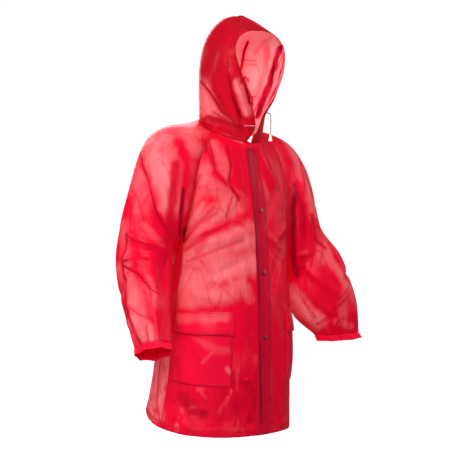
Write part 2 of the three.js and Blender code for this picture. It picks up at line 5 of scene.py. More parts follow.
import bmesh
import bpy
import numpy as np
from bpy.props import FloatProperty, FloatVectorProperty, IntProperty, PointerProperty
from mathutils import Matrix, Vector, noise


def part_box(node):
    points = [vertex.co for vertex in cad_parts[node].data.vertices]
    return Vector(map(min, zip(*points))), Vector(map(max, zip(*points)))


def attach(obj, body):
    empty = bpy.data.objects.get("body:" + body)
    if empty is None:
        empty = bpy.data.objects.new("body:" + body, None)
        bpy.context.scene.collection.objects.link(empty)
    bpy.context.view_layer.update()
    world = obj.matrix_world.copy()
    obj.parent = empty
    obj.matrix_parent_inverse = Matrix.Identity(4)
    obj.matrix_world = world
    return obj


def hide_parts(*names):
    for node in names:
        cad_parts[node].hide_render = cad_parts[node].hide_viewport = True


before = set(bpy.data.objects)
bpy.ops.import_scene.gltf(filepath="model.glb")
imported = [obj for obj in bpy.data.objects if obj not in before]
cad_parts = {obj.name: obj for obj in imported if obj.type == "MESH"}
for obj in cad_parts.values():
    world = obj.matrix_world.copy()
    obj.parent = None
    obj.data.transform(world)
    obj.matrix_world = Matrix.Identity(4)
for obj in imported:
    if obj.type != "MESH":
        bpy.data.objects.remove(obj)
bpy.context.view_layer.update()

bl_info = {
    "name": "Film raincoat",
    "version": (1, 0, 0),
    "blender": (4, 5, 0),
    "location": "View3D > Sidebar > Raincoat",
    "description": "Builds a hooded raincoat of thin film, piece by piece",
    "category": "Add Mesh",
}

MM = 0.001

# The cut, in millimetres. A turn is an angle round the body: 0 in front, 90 at the wearer's left.
NECK_HALF_WIDTH, NECK_HALF_DEPTH, NECK_MIDDLE_Z, NECK_RISE = 74, 74, -5, 36
RAGLAN_FRONT, RAGLAN_BACK = 72, 124
CHEST_DOWN, HEM_DOWN = 215, 715
YOKE_PULL, SHOULDER_PULL = 185, 400
# turn, share outwards, share down, pull
LEAVING_NECK = [
    (0, 0.1, 1, 170),
    (40, 0.6, 0.75, 175),
    (72, 1, 0.26, 200),
    (98, 1, -0.02, 440),
    (124, 0.95, 0.02, 360),
    (180, 0.5, 0.75, 240),
]
# down, half width, half depth, x, y, squareness
BODY = [
    (215, 156, 92, 0, -12, 2.3),
    (330, 150, 112, 0, 0, 2.2),
    (420, 164, 127, 0, 9, 2.2),
    (600, 170, 140, -6, 18, 2.2),
    (715, 180, 150, -12, 28, 2.2),
]
# turn, down
HEM = [(-180, 688), (-130, 672), (-85, 700), (0, 716), (90, 720), (180, 688)]
# at, x, y, z, half width, half depth, lean outwards, lean forwards, twist
RIGHT_SLEEVE = [
    (0, -220, 13, -190, 64, 66, 20, -6, 0),
    (0.2, -229, 22, -252, 66, 66, 14, -4, 0),
    (0.4, -236, 26, -312, 66, 67, 14, 8, 0),
    (0.6, -250, 6, -372, 59, 62, 13, 22, 0),
    (0.8, -264, -24, -434, 49, 52, 13, 26, 0),
    (1, -279, -58, -498, 37, 37, 12, 26, 0),
]
LEFT_SLEEVE = [
    (0, 219, 10, -190, 64, 64, 20, -4, 0),
    (0.2, 230, -2, -256, 63, 64, 18, 6, 20),
    (0.42, 258, -26, -330, 76, 62, 16, 8, 42),
    (0.62, 270, -38, -394, 84, 58, 12, 8, 42),
    (0.8, 284, -50, -450, 82, 46, 10, 6, 42),
    (1, 306, -70, -509, 56, 20, 6, 0, 42),
]
INTO_ARMPIT = {"front": (0, 150, -150), "back": (0, -120, -180)}
# at, face edge x y z, widest point x y z, middle seam y z
HOOD = [
    (0, 2, -71, -38, 73, 0, -5, 74, 31),
    (0.14, 5, -92, 6, 84, -8, 38, 68, 62),
    (0.29, 38, -108, 62, 93, -16, 84, 61, 100),
    (0.43, 66, -110, 114, 96, -20, 130, 56, 142),
    (0.57, 80, -106, 162, 92, -24, 176, 47, 186),
    (0.71, 70, -107, 193, 76, -30, 219, 32, 222),
    (0.86, 40, -111, 212, 42, -40, 252, 17, 247),
    (1, 0, -113, 217, 0, -45, 263, 0, 262),
]
CUFF_LENGTH, CUFF_FLARE, CUFF_GATHERS, CUFF_DEPTH = 17, 2, 14, 2.4
SLEEVE_GATHER_FROM, SLEEVE_GATHERS, SLEEVE_GATHER_DEPTH = 0.72, 7, 3
PLACKET_RIGHT, PLACKET_LEFT = 21, 20
POCKET_START, POCKET_WIDTH, POCKET_PUFF = 88, 140, 6
# rows of the fronts: a pocket's top and foot, its flap's top and foot, and each press stud
POCKET_ROWS = (16.3, 21.9, 15.8, 17.7)
STUD_ROWS = (7.3, 12.6, 18)
CORD_DIAMETER = 2.4
HEM_WIDTH, CASING_WIDTH = 16, 17
CORD_RIGHT = (0.11, 0.1, [(-13, -106, -6), (-19, -104, -18), (-23, -101, -28)])
CORD_LEFT = (0.2, 0.12, [(24, -114, 24), (25, -114, 2), (25, -113, -22)])

# The grids that the walls are made from, in the rows of the cut's own construction.
YOKE_ROWS, BODY_ROWS = 8, 18
# grid lines to a row
FINE = 9
FRONT_COLUMNS, BACK_COLUMNS, SLEEVE_COLUMNS, SLEEVE_ROWS = 96, 170, 130, 13
HOOD_ROWS, HOOD_COLUMNS = 110, 100
CUFF_ROWS, CUFF_COLUMNS = 9, 224
WALL, TRIM_WALL = 0.9, 1.0

# The film's relief, in mm: its facets, the small ones of the skirt, its patches where painted sheen and
# painted shade lie over the facets, and how far the sewn edges hold it flat.
FACET, SMALL_FACET, PATCH, SEAM_HOLD = 58, 21, 120, 14
SKIRT_TOP, SKIRT_REACH = -430, 140
STITCH_INSET, STITCH_LIFT = 3, 0.25

# Creases and drapes of one panel, drawn across a view from a turn round the coat: the view, and for each
# crease u and z at both ends, width, depth and sharpness.
FOLDS = {
    "sleeve_right": [
        (-42, [
            (-207, -70, -170, -195, 26, -7, 1.4), (-170, -195, -140, -250, 24, -7, 1.4),
            (-190, -60, -150, -160, 18, 4, 1.2), (-246, -322, -165, -375, 22, -8, 1.6),
            (-250, -300, -190, -320, 14, 4, 1.5), (-228, -253, -150, -290, 24, 7, 1.4),
            (-246, -322, -230, -400, 16, -4, 1.5), (-235, -390, -188, -480, 20, 6, 1.3),
            (-246, -318, -234, -240, 16, -4, 1.6), (-215, -420, -170, -440, 14, -4, 1.5),
            (-200, -150, -180, -110, 16, -3, 1.2), (-236, -140, -245, -230, 18, 3, 1.2),
            (-160, -300, -140, -400, 18, -5, 1.3), (-228, -445, -196, -470, 12, 3, 1.5),
        ]),
        (180, [
            (190, -110, 240, -300, 26, -6, 1.3), (250, -310, 205, -360, 22, -7, 1.5),
            (210, -250, 262, -280, 20, 4, 1.4), (250, -390, 285, -470, 18, 4, 1.4),
        ]),
        (-90, [(10, -330, -45, -400, 22, -6, 1.4), (60, -320, 10, -290, 20, 5, 1.4)]),
    ],
    "front_right": [
        (-42, [
            (-60, -45, -42, -110, 18, 6, 1.4), (-42, -110, -8, -152, 22, 5, 1.4),
            (-98, -200, -69, -105, 20, -5, 1.5), (-112, -130, -84, -70, 14, -5, 1.6),
            (-70, -280, 45, -250, 22, 4, 1.5), (-90, -262, -20, -235, 16, 3, 1.5),
            (-30, -345, 50, -305, 22, -4, 1.5), (-110, -240, -128, -380, 20, -5, 1.3),
            (30, -165, 5, -215, 18, -5, 1.5), (5, -150, 45, -185, 16, 3, 1.4),
            (-70, -148, -30, -150, 12, 3, 1.4), (-100, -390, -20, -400, 20, 3, 1.3),
            (40, -300, 62, -420, 18, -3, 1.3), (30, -560, 45, -705, 22, -4, 1.2),
            (-95, -640, -105, -715, 26, 5, 1.1),
        ]),
    ],
    "front_left": [
        (-42, [
            (62, -48, 104, -140, 20, 6, 1.4), (58, -60, 74, -150, 12, -4, 1.5),
            (104, -160, 90, -235, 20, -6, 1.5), (92, -110, 120, -190, 16, 4, 1.5),
            (88, -260, 128, -300, 18, 4, 1.4), (118, -300, 92, -390, 18, -4, 1.4),
            (100, -440, 108, -700, 20, -4, 1.2), (124, -500, 128, -700, 16, 4, 1.2),
        ]),
        (42, [(30, -230, -40, -270, 22, 4, 1.4), (60, -300, 0, -330, 20, -4, 1.4)]),
    ],
    "sleeve_left": [
        (-42, [
            (168, -80, 172, -170, 22, -7, 1.4), (130, -40, 165, -90, 18, 4, 1.3),
            (185, -130, 215, -230, 20, 5, 1.3), (180, -250, 262, -330, 26, -8, 1.5),
            (190, -340, 285, -420, 26, 8, 1.4), (230, -250, 300, -380, 16, -4, 1.5),
            (160, -400, 250, -470, 20, -6, 1.5), (250, -440, 300, -500, 16, 5, 1.4),
            (170, -310, 220, -300, 14, 4, 1.5),
        ]),
        (42, [(150, -110, 190, -280, 26, -6, 1.4), (230, -320, 160, -370, 22, -7, 1.5)]),
        (180, [(-190, -110, -250, -300, 26, -6, 1.3), (-250, -310, -215, -370, 22, -7, 1.5)]),
        (90, [(-40, -330, 20, -380, 22, -6, 1.4), (20, -260, -30, -240, 18, 5, 1.4)]),
    ],
    "back": [
        (180, [
            (-60, -60, -110, -210, 28, 6, 1.3), (58, -50, 115, -230, 28, 6, 1.3),
            (-20, -30, -30, -160, 20, -4, 1.3), (-20, -260, -50, -640, 36, 7, 1.2),
            (60, -330, 75, -660, 32, -7, 1.2), (-110, -420, -125, -660, 26, -6, 1.2),
            (20, -300, 25, -680, 26, -4, 1.2), (120, -300, 135, -660, 22, 5, 1.2),
            (-80, -250, 10, -300, 20, 3, 1.4), (90, -240, 20, -280, 20, -3, 1.4),
        ]),
        (-90, [(30, -330, 40, -680, 22, 5, 1.2)]),
        (90, [(-20, -330, -30, -690, 22, 5, 1.2)]),
    ],
    "hood_right": [
        (-42, [
            (-70, -20, 20, -65, 14, 5, 1.5), (-66, 2, 34, -40, 12, -4, 1.5),
            (-72, 30, -40, -10, 14, 4, 1.4), (2, 115, 20, 40, 18, 6, 1.4), (12, 60, 36, -20, 12, -4, 1.5),
            (-20, 200, -40, 90, 30, 4, 1.1), (0, 215, -5, 150, 22, -3, 1.2),
        ]),
        (180, [(10, 60, 60, 20, 16, 4, 1.4), (20, 180, 50, 90, 24, -4, 1.2)]),
    ],
    "hood_left": [
        (-42, [(70, 20, 50, -30, 14, 5, 1.4)]),
        (42, [(10, 120, -20, 40, 20, 5, 1.3), (60, -20, -20, -60, 14, 4, 1.4)]),
        (180, [(-10, 60, -60, 20, 16, 4, 1.4), (-20, 180, -50, 90, 24, -4, 1.2)]),
        (90, [(-20, 130, -10, 20, 20, -4, 1.2)]),
    ],
}

# Painted sheen and painted shade, drawn as strokes across a view: where the film is painted pale, as a
# highlight, and where its creases are painted deep, as shade: kind, view, and for each stroke width, strength
# and then u and z of its points. An inner crease shows its painted shade from within.
SHEEN_AND_SHADE_STROKES = {
    "trims": [
        ("painted_sheen", -42, [
            (7, 0.14, -78, -486, -55, -502, -33, -513, -5, -516),
            (2.2, 0.22, -64, -543, -53, -532, -42, -520), (3.5, 0.5, -7, -557, -1, -566),
        ]),
        ("crease_shade", -42, [
            (8, 0.35, -121, -541, -112, -586), (13, 0.4, 44, -55, 56, -150, 62, -240, 66, -330),
        ]),
        ("painted_sheen", -42, [(9, 0.3, -115, -445, -12, -440)]),
        ("crease_shade", -42, [
            (9, 0.4, -115, -586, -80, -609), (3, 0.6, -124, -484, -1, -479),
            (2.6, 0.5, -128, -436, -124, -472), (1.6, 0.3, 2, -486, 4, -586),
            (2.6, 1, 42, -62, 51, -144, 55, -201, 59, -244, 65, -345, 67, -486, 72, -687),
            (1.6, 0.3, 61, -144, 70, -267, 77, -404, 79, -678),
        ]),
        ("painted_sheen", 42, [(12, 0.25, 20, -440, 80, -450)]),
        ("crease_shade", 42, [(9, 0.24, 40, -590, 90, -600), (2, 0.36, -20, -475, 110, -480)]),
    ],
    "sleeve_right": [
        ("crease_shade", -42, [(5, 0.9, -104, -154, -109, -204, -113, -271)]),
        ("painted_sheen", -42, [(13, 0.6, -145, -42, -134, -87, -131, -127)]),
        ("crease_shade", 180, [(16, 0.45, 60, -6, 110, -16, 160, -36, 190, -70)]),
        ("crease_shade", -42, [
            (12, 0.45, -122, -98, -127, -166, -136, -256), (8, 0.3, -147, -267, -154, -402, -152, -480),
        ]),
        ("painted_sheen", -42, [
            (20, 0.9, -181, -42, -163, -98, -131, -188), (12, 0.4, -158, -32, -113, -24, -77, -18),
            (12, 0.6, -100, -19, -77, -64), (10, 0.35, -203, -87, -219, -154),
            (9, 0.4, -239, -233, -230, -316), (14, 0.6, -235, -330, -208, -402, -181, -474),
            (9, 0.45, -181, -357, -158, -402), (16, 0.75, -203, -442, -167, -487),
            (6, 0.3, -190, -233, -149, -278), (10, 0.2, -60, -22, -91, -16),
        ]),
        ("crease_shade", -42, [
            (2.4, 0.8, -205, -66, -201, -96, -183, -136, -164, -202, -138, -244),
            (2.2, 0.8, -246, -321, -239, -346, -228, -402, -211, -447, -189, -498),
            (2.2, 0.7, -246, -321, -232, -285, -228, -253),
            (2.2, 0.8, -246, -321, -203, -339, -172, -372), (2, 0.6, -228, -253, -212, -267, -147, -287),
            (1.8, 0.5, -178, -159, -188, -177, -194, -192),
            (2.2, 0.6, -244, -316, -214, -307, -181, -312),
            (2.2, 0.6, -221, -188, -224, -226, -217, -256), (2, 0.5, -172, -372, -152, -384),
            (1.7, 0.35, -230, -402, -203, -424, -163, -442),
            (2.6, 0.6, -140, -256, -145, -316, -158, -368),
            (1.6, 0.4, -176, -372, -167, -424, -158, -469),
            (1.6, 0.4, -219, -154, -203, -177, -190, -226), (1.6, 0.4, -199, -458, -190, -496),
            (1.6, 0.4, -181, -451, -174, -494), (1.6, 0.4, -163, -442, -158, -492),
        ]),
        ("painted_sheen", 180, [
            (22, 0.44, 180, -70, 205, -140, 225, -230), (16, 0.33, 250, -330, 262, -400, 270, -450),
        ]),
        ("painted_sheen", -90, [(16, 0.33, 10, -100, 10, -190)]),
        ("crease_shade", 180, [
            (3, 0.48, 175, -60, 195, -150, 232, -260, 246, -310),
            (2.6, 0.42, 200, -360, 228, -330, 252, -312), (2.4, 0.36, 216, -250, 240, -262, 264, -270),
            (2.4, 0.3, 240, -360, 262, -420, 276, -480),
        ]),
        ("crease_shade", -90, [(2.6, 0.36, 30, -310, -10, -340, -40, -400), (2.4, 0.3, 50, -260, 20, -300)]),
        ("crease_shade", 180, [(2, 0.24, 255, -440, 262, -490), (2, 0.24, 285, -450, 285, -492)]),
    ],
    "front_right": [
        ("crease_shade", -42, [
            (4, 1, -99, -183, -103, -226, -108, -272), (20, 0.66, -108, -623, -85, -650, -60, -657),
            (15, 0.62, 43, -596, 54, -637, 47, -678), (10, 0.45, -37, -655, -19, -673),
        ]),
        ("painted_sheen", -42, [
            (3.5, 0.6, -12, -637, -5, -623), (3, 0.4, -26, -659, -19, -641),
            (3, 0.35, -55, -623, -69, -605),
        ]),
        ("crease_shade", -42, [
            (3, 0.5, -37, -605, -26, -637, -33, -668), (3, 0.5, 13, -614, 22, -650, 9, -687),
            (3, 0.4, -78, -673, -51, -641, -42, -614),
        ]),
        ("painted_sheen", -42, [
            (4, 0.55, -110, -267, -87, -226, -62, -185), (5, 0.5, -105, -281, -58, -235, -10, -201),
        ]),
        ("crease_shade", -42, [(5, 0.22, -108, -274, -74, -231, -37, -194)]),
        ("painted_sheen", -42, [(5, 0.5, -101, -304, -42, -267, 18, -244)]),
        ("crease_shade", -42, [
            (5, 0.2, -103, -292, -46, -254, 4, -224), (5, 0.2, -99, -317, -33, -290, 29, -267),
            (3, 0.9, -124, -226, -119, -254, -121, -281), (30, 0.35, -105, -472, -101, -632),
            (9, 0.6, -108, -96, -117, -176, -121, -279), (8, 0.45, -55, -5, -51, -62, -37, -96),
            (8, 0.3, -124, -290, -126, -415), (44, 0.3, -92, -640, -23, -650, 45, -640),
            (14, 0.3, 45, -427, 45, -655), (12, 0.25, 13, -62, 31, -187),
        ]),
        ("painted_sheen", -42, [
            (12, 0.6, -42, -53, -23, -85, -10, -112), (16, 0.5, -87, -126, -35, -149, 13, -185),
            (22, 0.9, -105, -317, -35, -285, 45, -258), (22, 0.9, -110, -368, -35, -340, 50, -317),
            (16, 0.7, -105, -404, -35, -393, 22, -381), (18, 0.6, -92, -233, -35, -210, 11, -187),
            (10, 0.5, -105, -208, -78, -167, -55, -108), (10, 0.5, -92, -85, -78, -44),
            (4, 0.6, -53, -3, -19, -19, 27, -37), (12, 0.6, -160, -541, -172, -621, -165, -666),
            (9, 0.35, 18, -336, 45, -404),
        ]),
        ("crease_shade", -42, [
            (3, 0.9, -85, -41, -90, -55, -103, -85, -113, -101, -120, -158, -117, -181),
            (3.4, 0.8, -58, 2, -55, -39, -55, -67),
            (2.4, 0.6, -67, 2, -53, -32, -39, -73, -35, -112, -10, -142),
            (1.8, 0.4, 5, -169, -3, -192, -10, -215), (2.8, 0.7, -5, -51, 2, -96, -3, -142, 22, -176),
            (1.8, 0.5, -99, -197, -83, -158, -69, -119), (1.8, 0.4, -103, -94, -90, -62, -78, -37),
            (1.6, 0.4, -69, -148, -53, -148),
            (3.4, 0.9, -117, -187, -121, -233, -124, -272, -131, -336, -133, -381),
            (3.6, 0.2, -105, -249, -69, -226, -33, -208), (2.4, 0.5, 22, -62, 31, -108, 36, -153),
            (9, 0.45, -115, -598, -80, -632, -37, -659), (3, 0.3, 45, -518, 40, -632, 45, -687),
            (1.6, 0.3, 22, -381, 36, -472, 31, -586), (7, 0.35, -119, -582, -87, -614),
        ]),
    ],
    "front_left": [
        ("crease_shade", -42, [
            (12, 0.5, 132, -103, 141, -198, 146, -363), (30, 0.3, 99, -80, 108, -268),
            (26, 0.3, 118, -410, 123, -670),
        ]),
        ("painted_sheen", -42, [
            (7, 0.4, 108, -155, 94, -214), (6, 0.35, 68, -120, 92, -176), (7, 0.2, 99, -410, 127, -481),
            (4, 0.4, 130, -422, 137, -457),
        ]),
        ("crease_shade", -42, [
            (2.4, 0.6, 59, -23, 80, -47, 94, -80, 108, -117), (2.4, 0.6, 89, -9, 123, -56, 137, -115),
            (2, 0.5, 75, -56, 85, -103, 89, -150), (2.4, 0.5, 106, -80, 127, -174, 125, -268),
            (3, 0.7, 144, -188, 148, -268, 153, -349), (1.8, 0.4, 94, -245, 127, -280),
            (1.8, 0.4, 94, -292, 123, -320), (1.8, 0.4, 99, -375, 141, -410),
            (2, 0.4, 108, -504, 127, -599, 118, -693),
        ]),
        ("painted_sheen", 42, [
            (20, 0.2, -30, -200, 20, -190, 80, -180), (20, 0.18, -20, -300, 40, -290),
            (14, 0.28, 20, -90, 50, -140),
        ]),
        ("crease_shade", 42, [
            (2.6, 0.36, 20, -40, 40, -110, 90, -180), (2, 0.3, -50, -260, 0, -240, 50, -230),
            (2, 0.24, 0, -340, 40, -320, 70, -310),
        ]),
    ],
    "sleeve_left": [
        ("crease_shade", -42, [(10, 0.35, 176, -346, 206, -296, 220, -258)]),
        ("painted_sheen", -42, [
            (10, 0.6, 143, -13, 168, -66, 198, -146, 210, -208),
            (9, 0.6, 238, -288, 266, -340, 293, -383), (16, 0.9, 156, -406, 180, -440, 220, -476),
            (9, 0.35, 288, -396, 283, -433, 288, -466), (6, 0.4, 198, -133, 188, -170),
            (7, 0.4, 270, -476, 306, -490), (7, 0.35, 220, -270, 230, -326),
        ]),
        ("crease_shade", -42, [
            (10, 0.9, 163, -133, 160, -208, 158, -308, 168, -358),
            (12, 0.6, 178, -158, 183, -246, 180, -340), (3, 0.6, 203, -208, 216, -270, 240, -290),
            (2.4, 0.3, 238, -290, 226, -326, 246, -396), (2.4, 0.5, 250, -458, 300, -408),
            (2.2, 0.4, 220, -483, 263, -458), (2, 0.4, 270, -420, 293, -400),
            (2.4, 0.5, 258, -508, 276, -470), (2, 0.4, 183, -420, 216, -466),
            (2.4, 0.5, 176, -46, 186, -120, 183, -183), (2, 0.4, 276, -500, 286, -466),
            (2, 0.4, 300, -500, 300, -460),
        ]),
        ("painted_sheen", 180, [
            (22, 0.44, -180, -70, -205, -150, -225, -230), (18, 0.33, -262, -330, -290, -420),
        ]),
        ("painted_sheen", 90, [(16, 0.33, -10, -100, -20, -190)]),
        ("painted_sheen", 42, [(16, 0.33, 150, -90, 190, -170)]),
        ("crease_shade", 180, [
            (3, 0.48, -176, -60, -192, -150, -230, -260, -256, -300),
            (2.6, 0.42, -200, -360, -236, -320, -262, -300),
            (2.4, 0.3, -230, -400, -270, -420, -300, -470),
        ]),
        ("crease_shade", 42, [
            (2.6, 0.36, 150, -100, 180, -200, 220, -280), (2.6, 0.36, 160, -360, 210, -330, 236, -310),
        ]),
        ("crease_shade", 90, [(2.4, 0.36, 40, -300, 0, -340, -20, -420)]),
        ("crease_shade", 180, [(2, 0.24, -280, -440, -296, -500), (2, 0.24, -305, -450, -314, -500)]),
    ],
    "hood_right": [
        ("painted_sheen", -42, [(5, 0.5, -54, 89, -42, 64, -40, 38)]),
        ("crease_shade", -42, [
            (2.6, 1, 14, 164, 23, 131, 32, 99, 41, 66, 46, 48), (40, 0.35, 4, 243, -35, 196, -51, 127),
            (16, 0.4, -35, 178, -10, 210, 32, 229), (9, 0.5, 14, 159, 23, 127, 27, 94),
            (9, 0.45, -51, 15, -14, 6, 23, -8), (18, 0.35, -19, 205, 23, 224, 60, 224),
            (14, 0.2, -56, 150, -61, 113),
        ]),
        ("painted_sheen", -42, [
            (11, 0.8, -63, 99, -56, 38), (8, 0.35, -49, 66, -33, 29), (8, 1, 18, 94, 27, 62, 39, 29),
            (4, 0.2, -61, 150, -56, 173), (4, 0.5, -47, 29, -19, 20), (3, 0.5, -14, 13, 14, 1),
        ]),
        ("crease_shade", -42, [
            (2.6, 0.9, -3, 108, 7, 57, 25, 15), (2.8, 0.6, -68, 103, -47, 76, -19, 29, 14, 1),
            (8, 0.5, 11, 159, 18, 182, 32, 196, 60, 210), (3.4, 0.4, -42, 127, -33, 80, -5, 15),
            (3.4, 0.3, -24, 208, 4, 219, 41, 215), (3.4, 0.4, -5, 150, -3, 103),
            (10, 0.3, -10, 233, 23, 229, 60, 219), (2.4, 0.4, -56, 15, -19, 6, 18, -3),
            (2.4, 0.4, -38, 29, 0, 6, 23, -13), (6, 0.4, -33, 173, -42, 115),
        ]),
        ("painted_sheen", 180, [(16, 0.44, -20, 60, -30, 130)]),
        ("painted_sheen", -90, [(14, 0.28, 30, 20, 10, 90)]),
        ("crease_shade", 180, [(2.6, 0.36, -10, 40, -40, 80, -60, 140)]),
        ("crease_shade", -90, [(2.6, 0.36, 50, 40, 20, 90, 16, 150), (2.4, 0.3, 60, 20, 20, 0, -30, -20)]),
    ],
    "hood_left": [
        ("inner crease", -42, [
            (3, 1, 34, 132, 44, 101, 56, 72, 53, 40), (10, 0.35, 92, 195, 87, 142, 63, 79),
            (7, 0.3, 97, 215, 78, 210, 63, 190), (6, 0.45, 78, 79, 63, 50, 48, 31),
            (1.4, 0.6, 124, 171, 109, 128, 97, 89, 78, 45), (1.4, 0.5, 29, 70, 39, 60, 48, 67),
            (1.4, 0.5, 41, 40, 53, 31),
            (3.4, 1, 44, 215, 35, 195, 33, 181, 26, 147, 32, 108, 44, 77, 46, 57, 41, 26),
            (2.4, 0.5, 32, 174, 63, 171), (2.4, 0.4, 29, 164, 63, 161),
            (2, 0.9, 29, 128, 39, 132, 46, 123), (2, 0.9, 44, 82, 61, 82), (2, 0.8, 46, 74, 58, 62),
            (8, 1, 119, 188, 107, 149, 94, 103, 80, 62, 67, 31),
            (1.7, 0.8, 131, 190, 124, 142, 109, 99, 92, 55), (1.5, 0.3, 78, 215, 92, 166, 78, 94),
            (1.5, 0.3, 92, 210, 102, 161, 82, 89), (1.2, 0.3, 68, 161, 78, 118, 53, 89),
            (1.2, 0.25, 63, 215, 78, 161, 68, 118),
        ]),
        ("painted_sheen", 42, [(16, 0.33, 0, 40, 10, 110)]),
        ("painted_sheen", 180, [(16, 0.39, 20, 70, 36, 130)]),
        ("crease_shade", 180, [(2.6, 0.36, 10, 40, 40, 80, 56, 140)]),
        ("crease_shade", 42, [(2.6, 0.36, 60, 0, 30, 40, 20, 100), (2.4, 0.3, -30, 150, 0, 190, 40, 210)]),
        ("crease_shade", 90, [(2.6, 0.3, -40, 30, -10, 80, -16, 150)]),
        ("painted_sheen", 42, [(8, 0.28, 30, -20, 60, -10)]),
        ("crease_shade", 42, [(2.2, 0.3, 60, 10, 30, -30, -10, -50)]),
    ],
    "back": [
        ("painted_sheen", -90, [(24, 0.9, -20, -520, -44, -600, -60, -680), (10, 0.5, -90, -560, -104, -660)]),
        ("crease_shade", 180, [(16, 0.45, 60, -6, 110, -16, 150, -36)]),
        ("painted_sheen", -42, [(14, 0.7, -174, -550, -184, -632, -176, -668)]),
        ("crease_shade", -42, [(1.6, 0.4, -160, -527, -169, -644, -160, -691)]),
        ("painted_sheen", 180, [
            (26, 0.44, -60, -90, -70, -180, -60, -260), (24, 0.39, 50, -110, 80, -200, 90, -300),
            (22, 0.33, -20, -330, 0, -430, -10, -560), (18, 0.33, -110, -420, -120, -560),
            (20, 0.33, 90, -460, 100, -600), (14, 0.28, -40, -600, 20, -660),
        ]),
        ("crease_shade", 180, [
            (3, 0.48, -30, -40, -60, -110, -110, -190, -130, -240),
            (3, 0.48, 30, -40, 66, -120, 120, -200), (2.6, 0.36, -10, -60, -16, -160, -40, -230),
            (2.6, 0.36, -20, -250, -34, -380, -30, -520, -50, -660),
            (2.6, 0.36, 60, -320, 70, -460, 66, -640), (2.2, 0.3, -110, -330, -90, -420, -104, -520),
            (2.2, 0.3, 20, -280, 60, -260, 110, -240), (2, 0.24, -80, -250, -20, -280, 10, -300),
            (2.2, 0.3, 120, -300, 126, -420, 134, -560),
        ]),
        ("crease_shade", 90, [(2.4, 0.3, 20, -260, 30, -400, 34, -560)]),
        ("crease_shade", -90, [(2.4, 0.3, -30, -260, -34, -400, -40, -560)]),
        ("crease_shade", 180, [(2, 0.24, 10, -560, 30, -620, 16, -690)]),
    ],
}


def hermite(p0, p1, m0, m1, t):
    """A cubic from p0 to p1 with the slopes m0 and m1."""
    t2, t3 = t * t, t * t * t
    return (2 * t3 - 3 * t2 + 1) * p0 + (t3 - 2 * t2 + t) * m0 + (3 * t2 - 2 * t3) * p1 + (t3 - t2) * m1


def smooth(v):
    """An even step from 0 to 1."""
    t = np.clip(v, 0, 1)
    return t * t * (3 - 2 * t)


def unit(v):
    """Vectors of length 1."""
    return v / np.maximum(np.linalg.norm(v, axis=-1, keepdims=True), 1e-9)


def along(table, value):
    """The columns of a table at some values of its first column, on a smooth curve through its rows."""
    rows = np.asarray(table, float)
    key = rows[:, 0]
    value = np.asarray(value, float)
    i = np.searchsorted(key[1:-1], value, side="left")
    before, after = np.maximum(i - 1, 0), np.minimum(i + 2, len(rows) - 1)
    span = key[i + 1] - key[i]
    t = np.clip((value - key[i]) / span, 0, 1)[..., None]
    slope_from = (rows[i + 1] - rows[before]) / (key[i + 1] - key[before])[..., None]
    slope_to = (rows[after] - rows[i]) / (key[after] - key[i])[..., None]
    return hermite(rows[i], rows[i + 1], slope_from * span[..., None], slope_to * span[..., None], t)


def wrapped(turn):
    """The same turn between -180 and 180."""
    return (np.asarray(turn, float) + 540) % 360 - 180


def neck_point(turn):
    """A point of the neck ring, which rises to the back."""
    a = np.radians(turn)
    return np.stack(
        [NECK_HALF_WIDTH * np.sin(a), -NECK_HALF_DEPTH * np.cos(a), NECK_MIDDLE_Z - NECK_RISE * np.cos(a)], -1
    )


def leaving_neck(turn):
    """The slope with which the yoke leaves the neck."""
    row = along(LEAVING_NECK, np.abs(wrapped(turn)))
    a = np.radians(turn)
    way = np.stack([np.sin(a) * row[..., 1], -np.cos(a) * row[..., 1], -row[..., 2]], -1)
    return way * row[..., 3:4]


def body_point(turn, down):
    """A point of the body, by its turn and how far it is down the cut."""
    row = along(BODY, down)
    s, c = np.sin(np.radians(turn)), np.cos(np.radians(turn))
    power = 2 / row[..., 5]
    share = (down - CHEST_DOWN) / (HEM_DOWN - CHEST_DOWN)
    hem = along(HEM, wrapped(turn))[..., 1]
    return np.stack(
        [
            row[..., 3] + row[..., 1] * np.sign(s) * np.abs(s) ** power,
            row[..., 4] - row[..., 2] * np.sign(c) * np.abs(c) ** power,
            -(CHEST_DOWN + share * (hem - CHEST_DOWN)),
        ],
        -1,
    )


def armpit(side):
    """The point under the arm, where the fronts, the back and a sleeve meet."""
    return body_point(np.array(side * 90.0), np.array(float(CHEST_DOWN)))


def ring_point(table, side, at, angle):
    """A point of a sleeve's ring. The angle starts under the arm and goes round by the front."""
    row = along(table, at)
    lean_out, lean_forward = np.tan(np.radians(row[..., 6])), np.tan(np.radians(row[..., 7]))
    axis = unit(np.stack([side * lean_out, -lean_forward, -np.ones_like(lean_out)], -1))
    outwards = np.zeros_like(axis)
    outwards[..., 0] = side
    outwards = unit(outwards - axis * (outwards * axis).sum(-1, keepdims=True))
    forwards = unit(-side * np.cross(outwards, axis))
    a = np.radians(angle)
    turned = np.pi - a - np.radians(row[..., 8])
    plain = 1 / np.hypot(np.cos(turned) / row[..., 4], np.sin(turned) / row[..., 5])
    gathered = smooth((at - SLEEVE_GATHER_FROM) / (1 - SLEEVE_GATHER_FROM))
    radius = (plain + SLEEVE_GATHER_DEPTH * gathered * np.cos(a * SLEEVE_GATHERS))[..., None]
    return row[..., 1:4] - outwards * radius * np.cos(a)[..., None] + forwards * radius * np.sin(a)[..., None]


def sleeve_tube(table, side, at, angle):
    """The same ring, drawn to the armpit's point where the sleeve starts."""
    zero = np.zeros(())
    pull = armpit(side) - ring_point(table, side, zero, zero)
    near = ((1 + np.cos(np.radians(angle))) / 2) ** 2 * (1 - smooth(at / 0.3))
    return ring_point(table, side, at, angle) + near[..., None] * pull


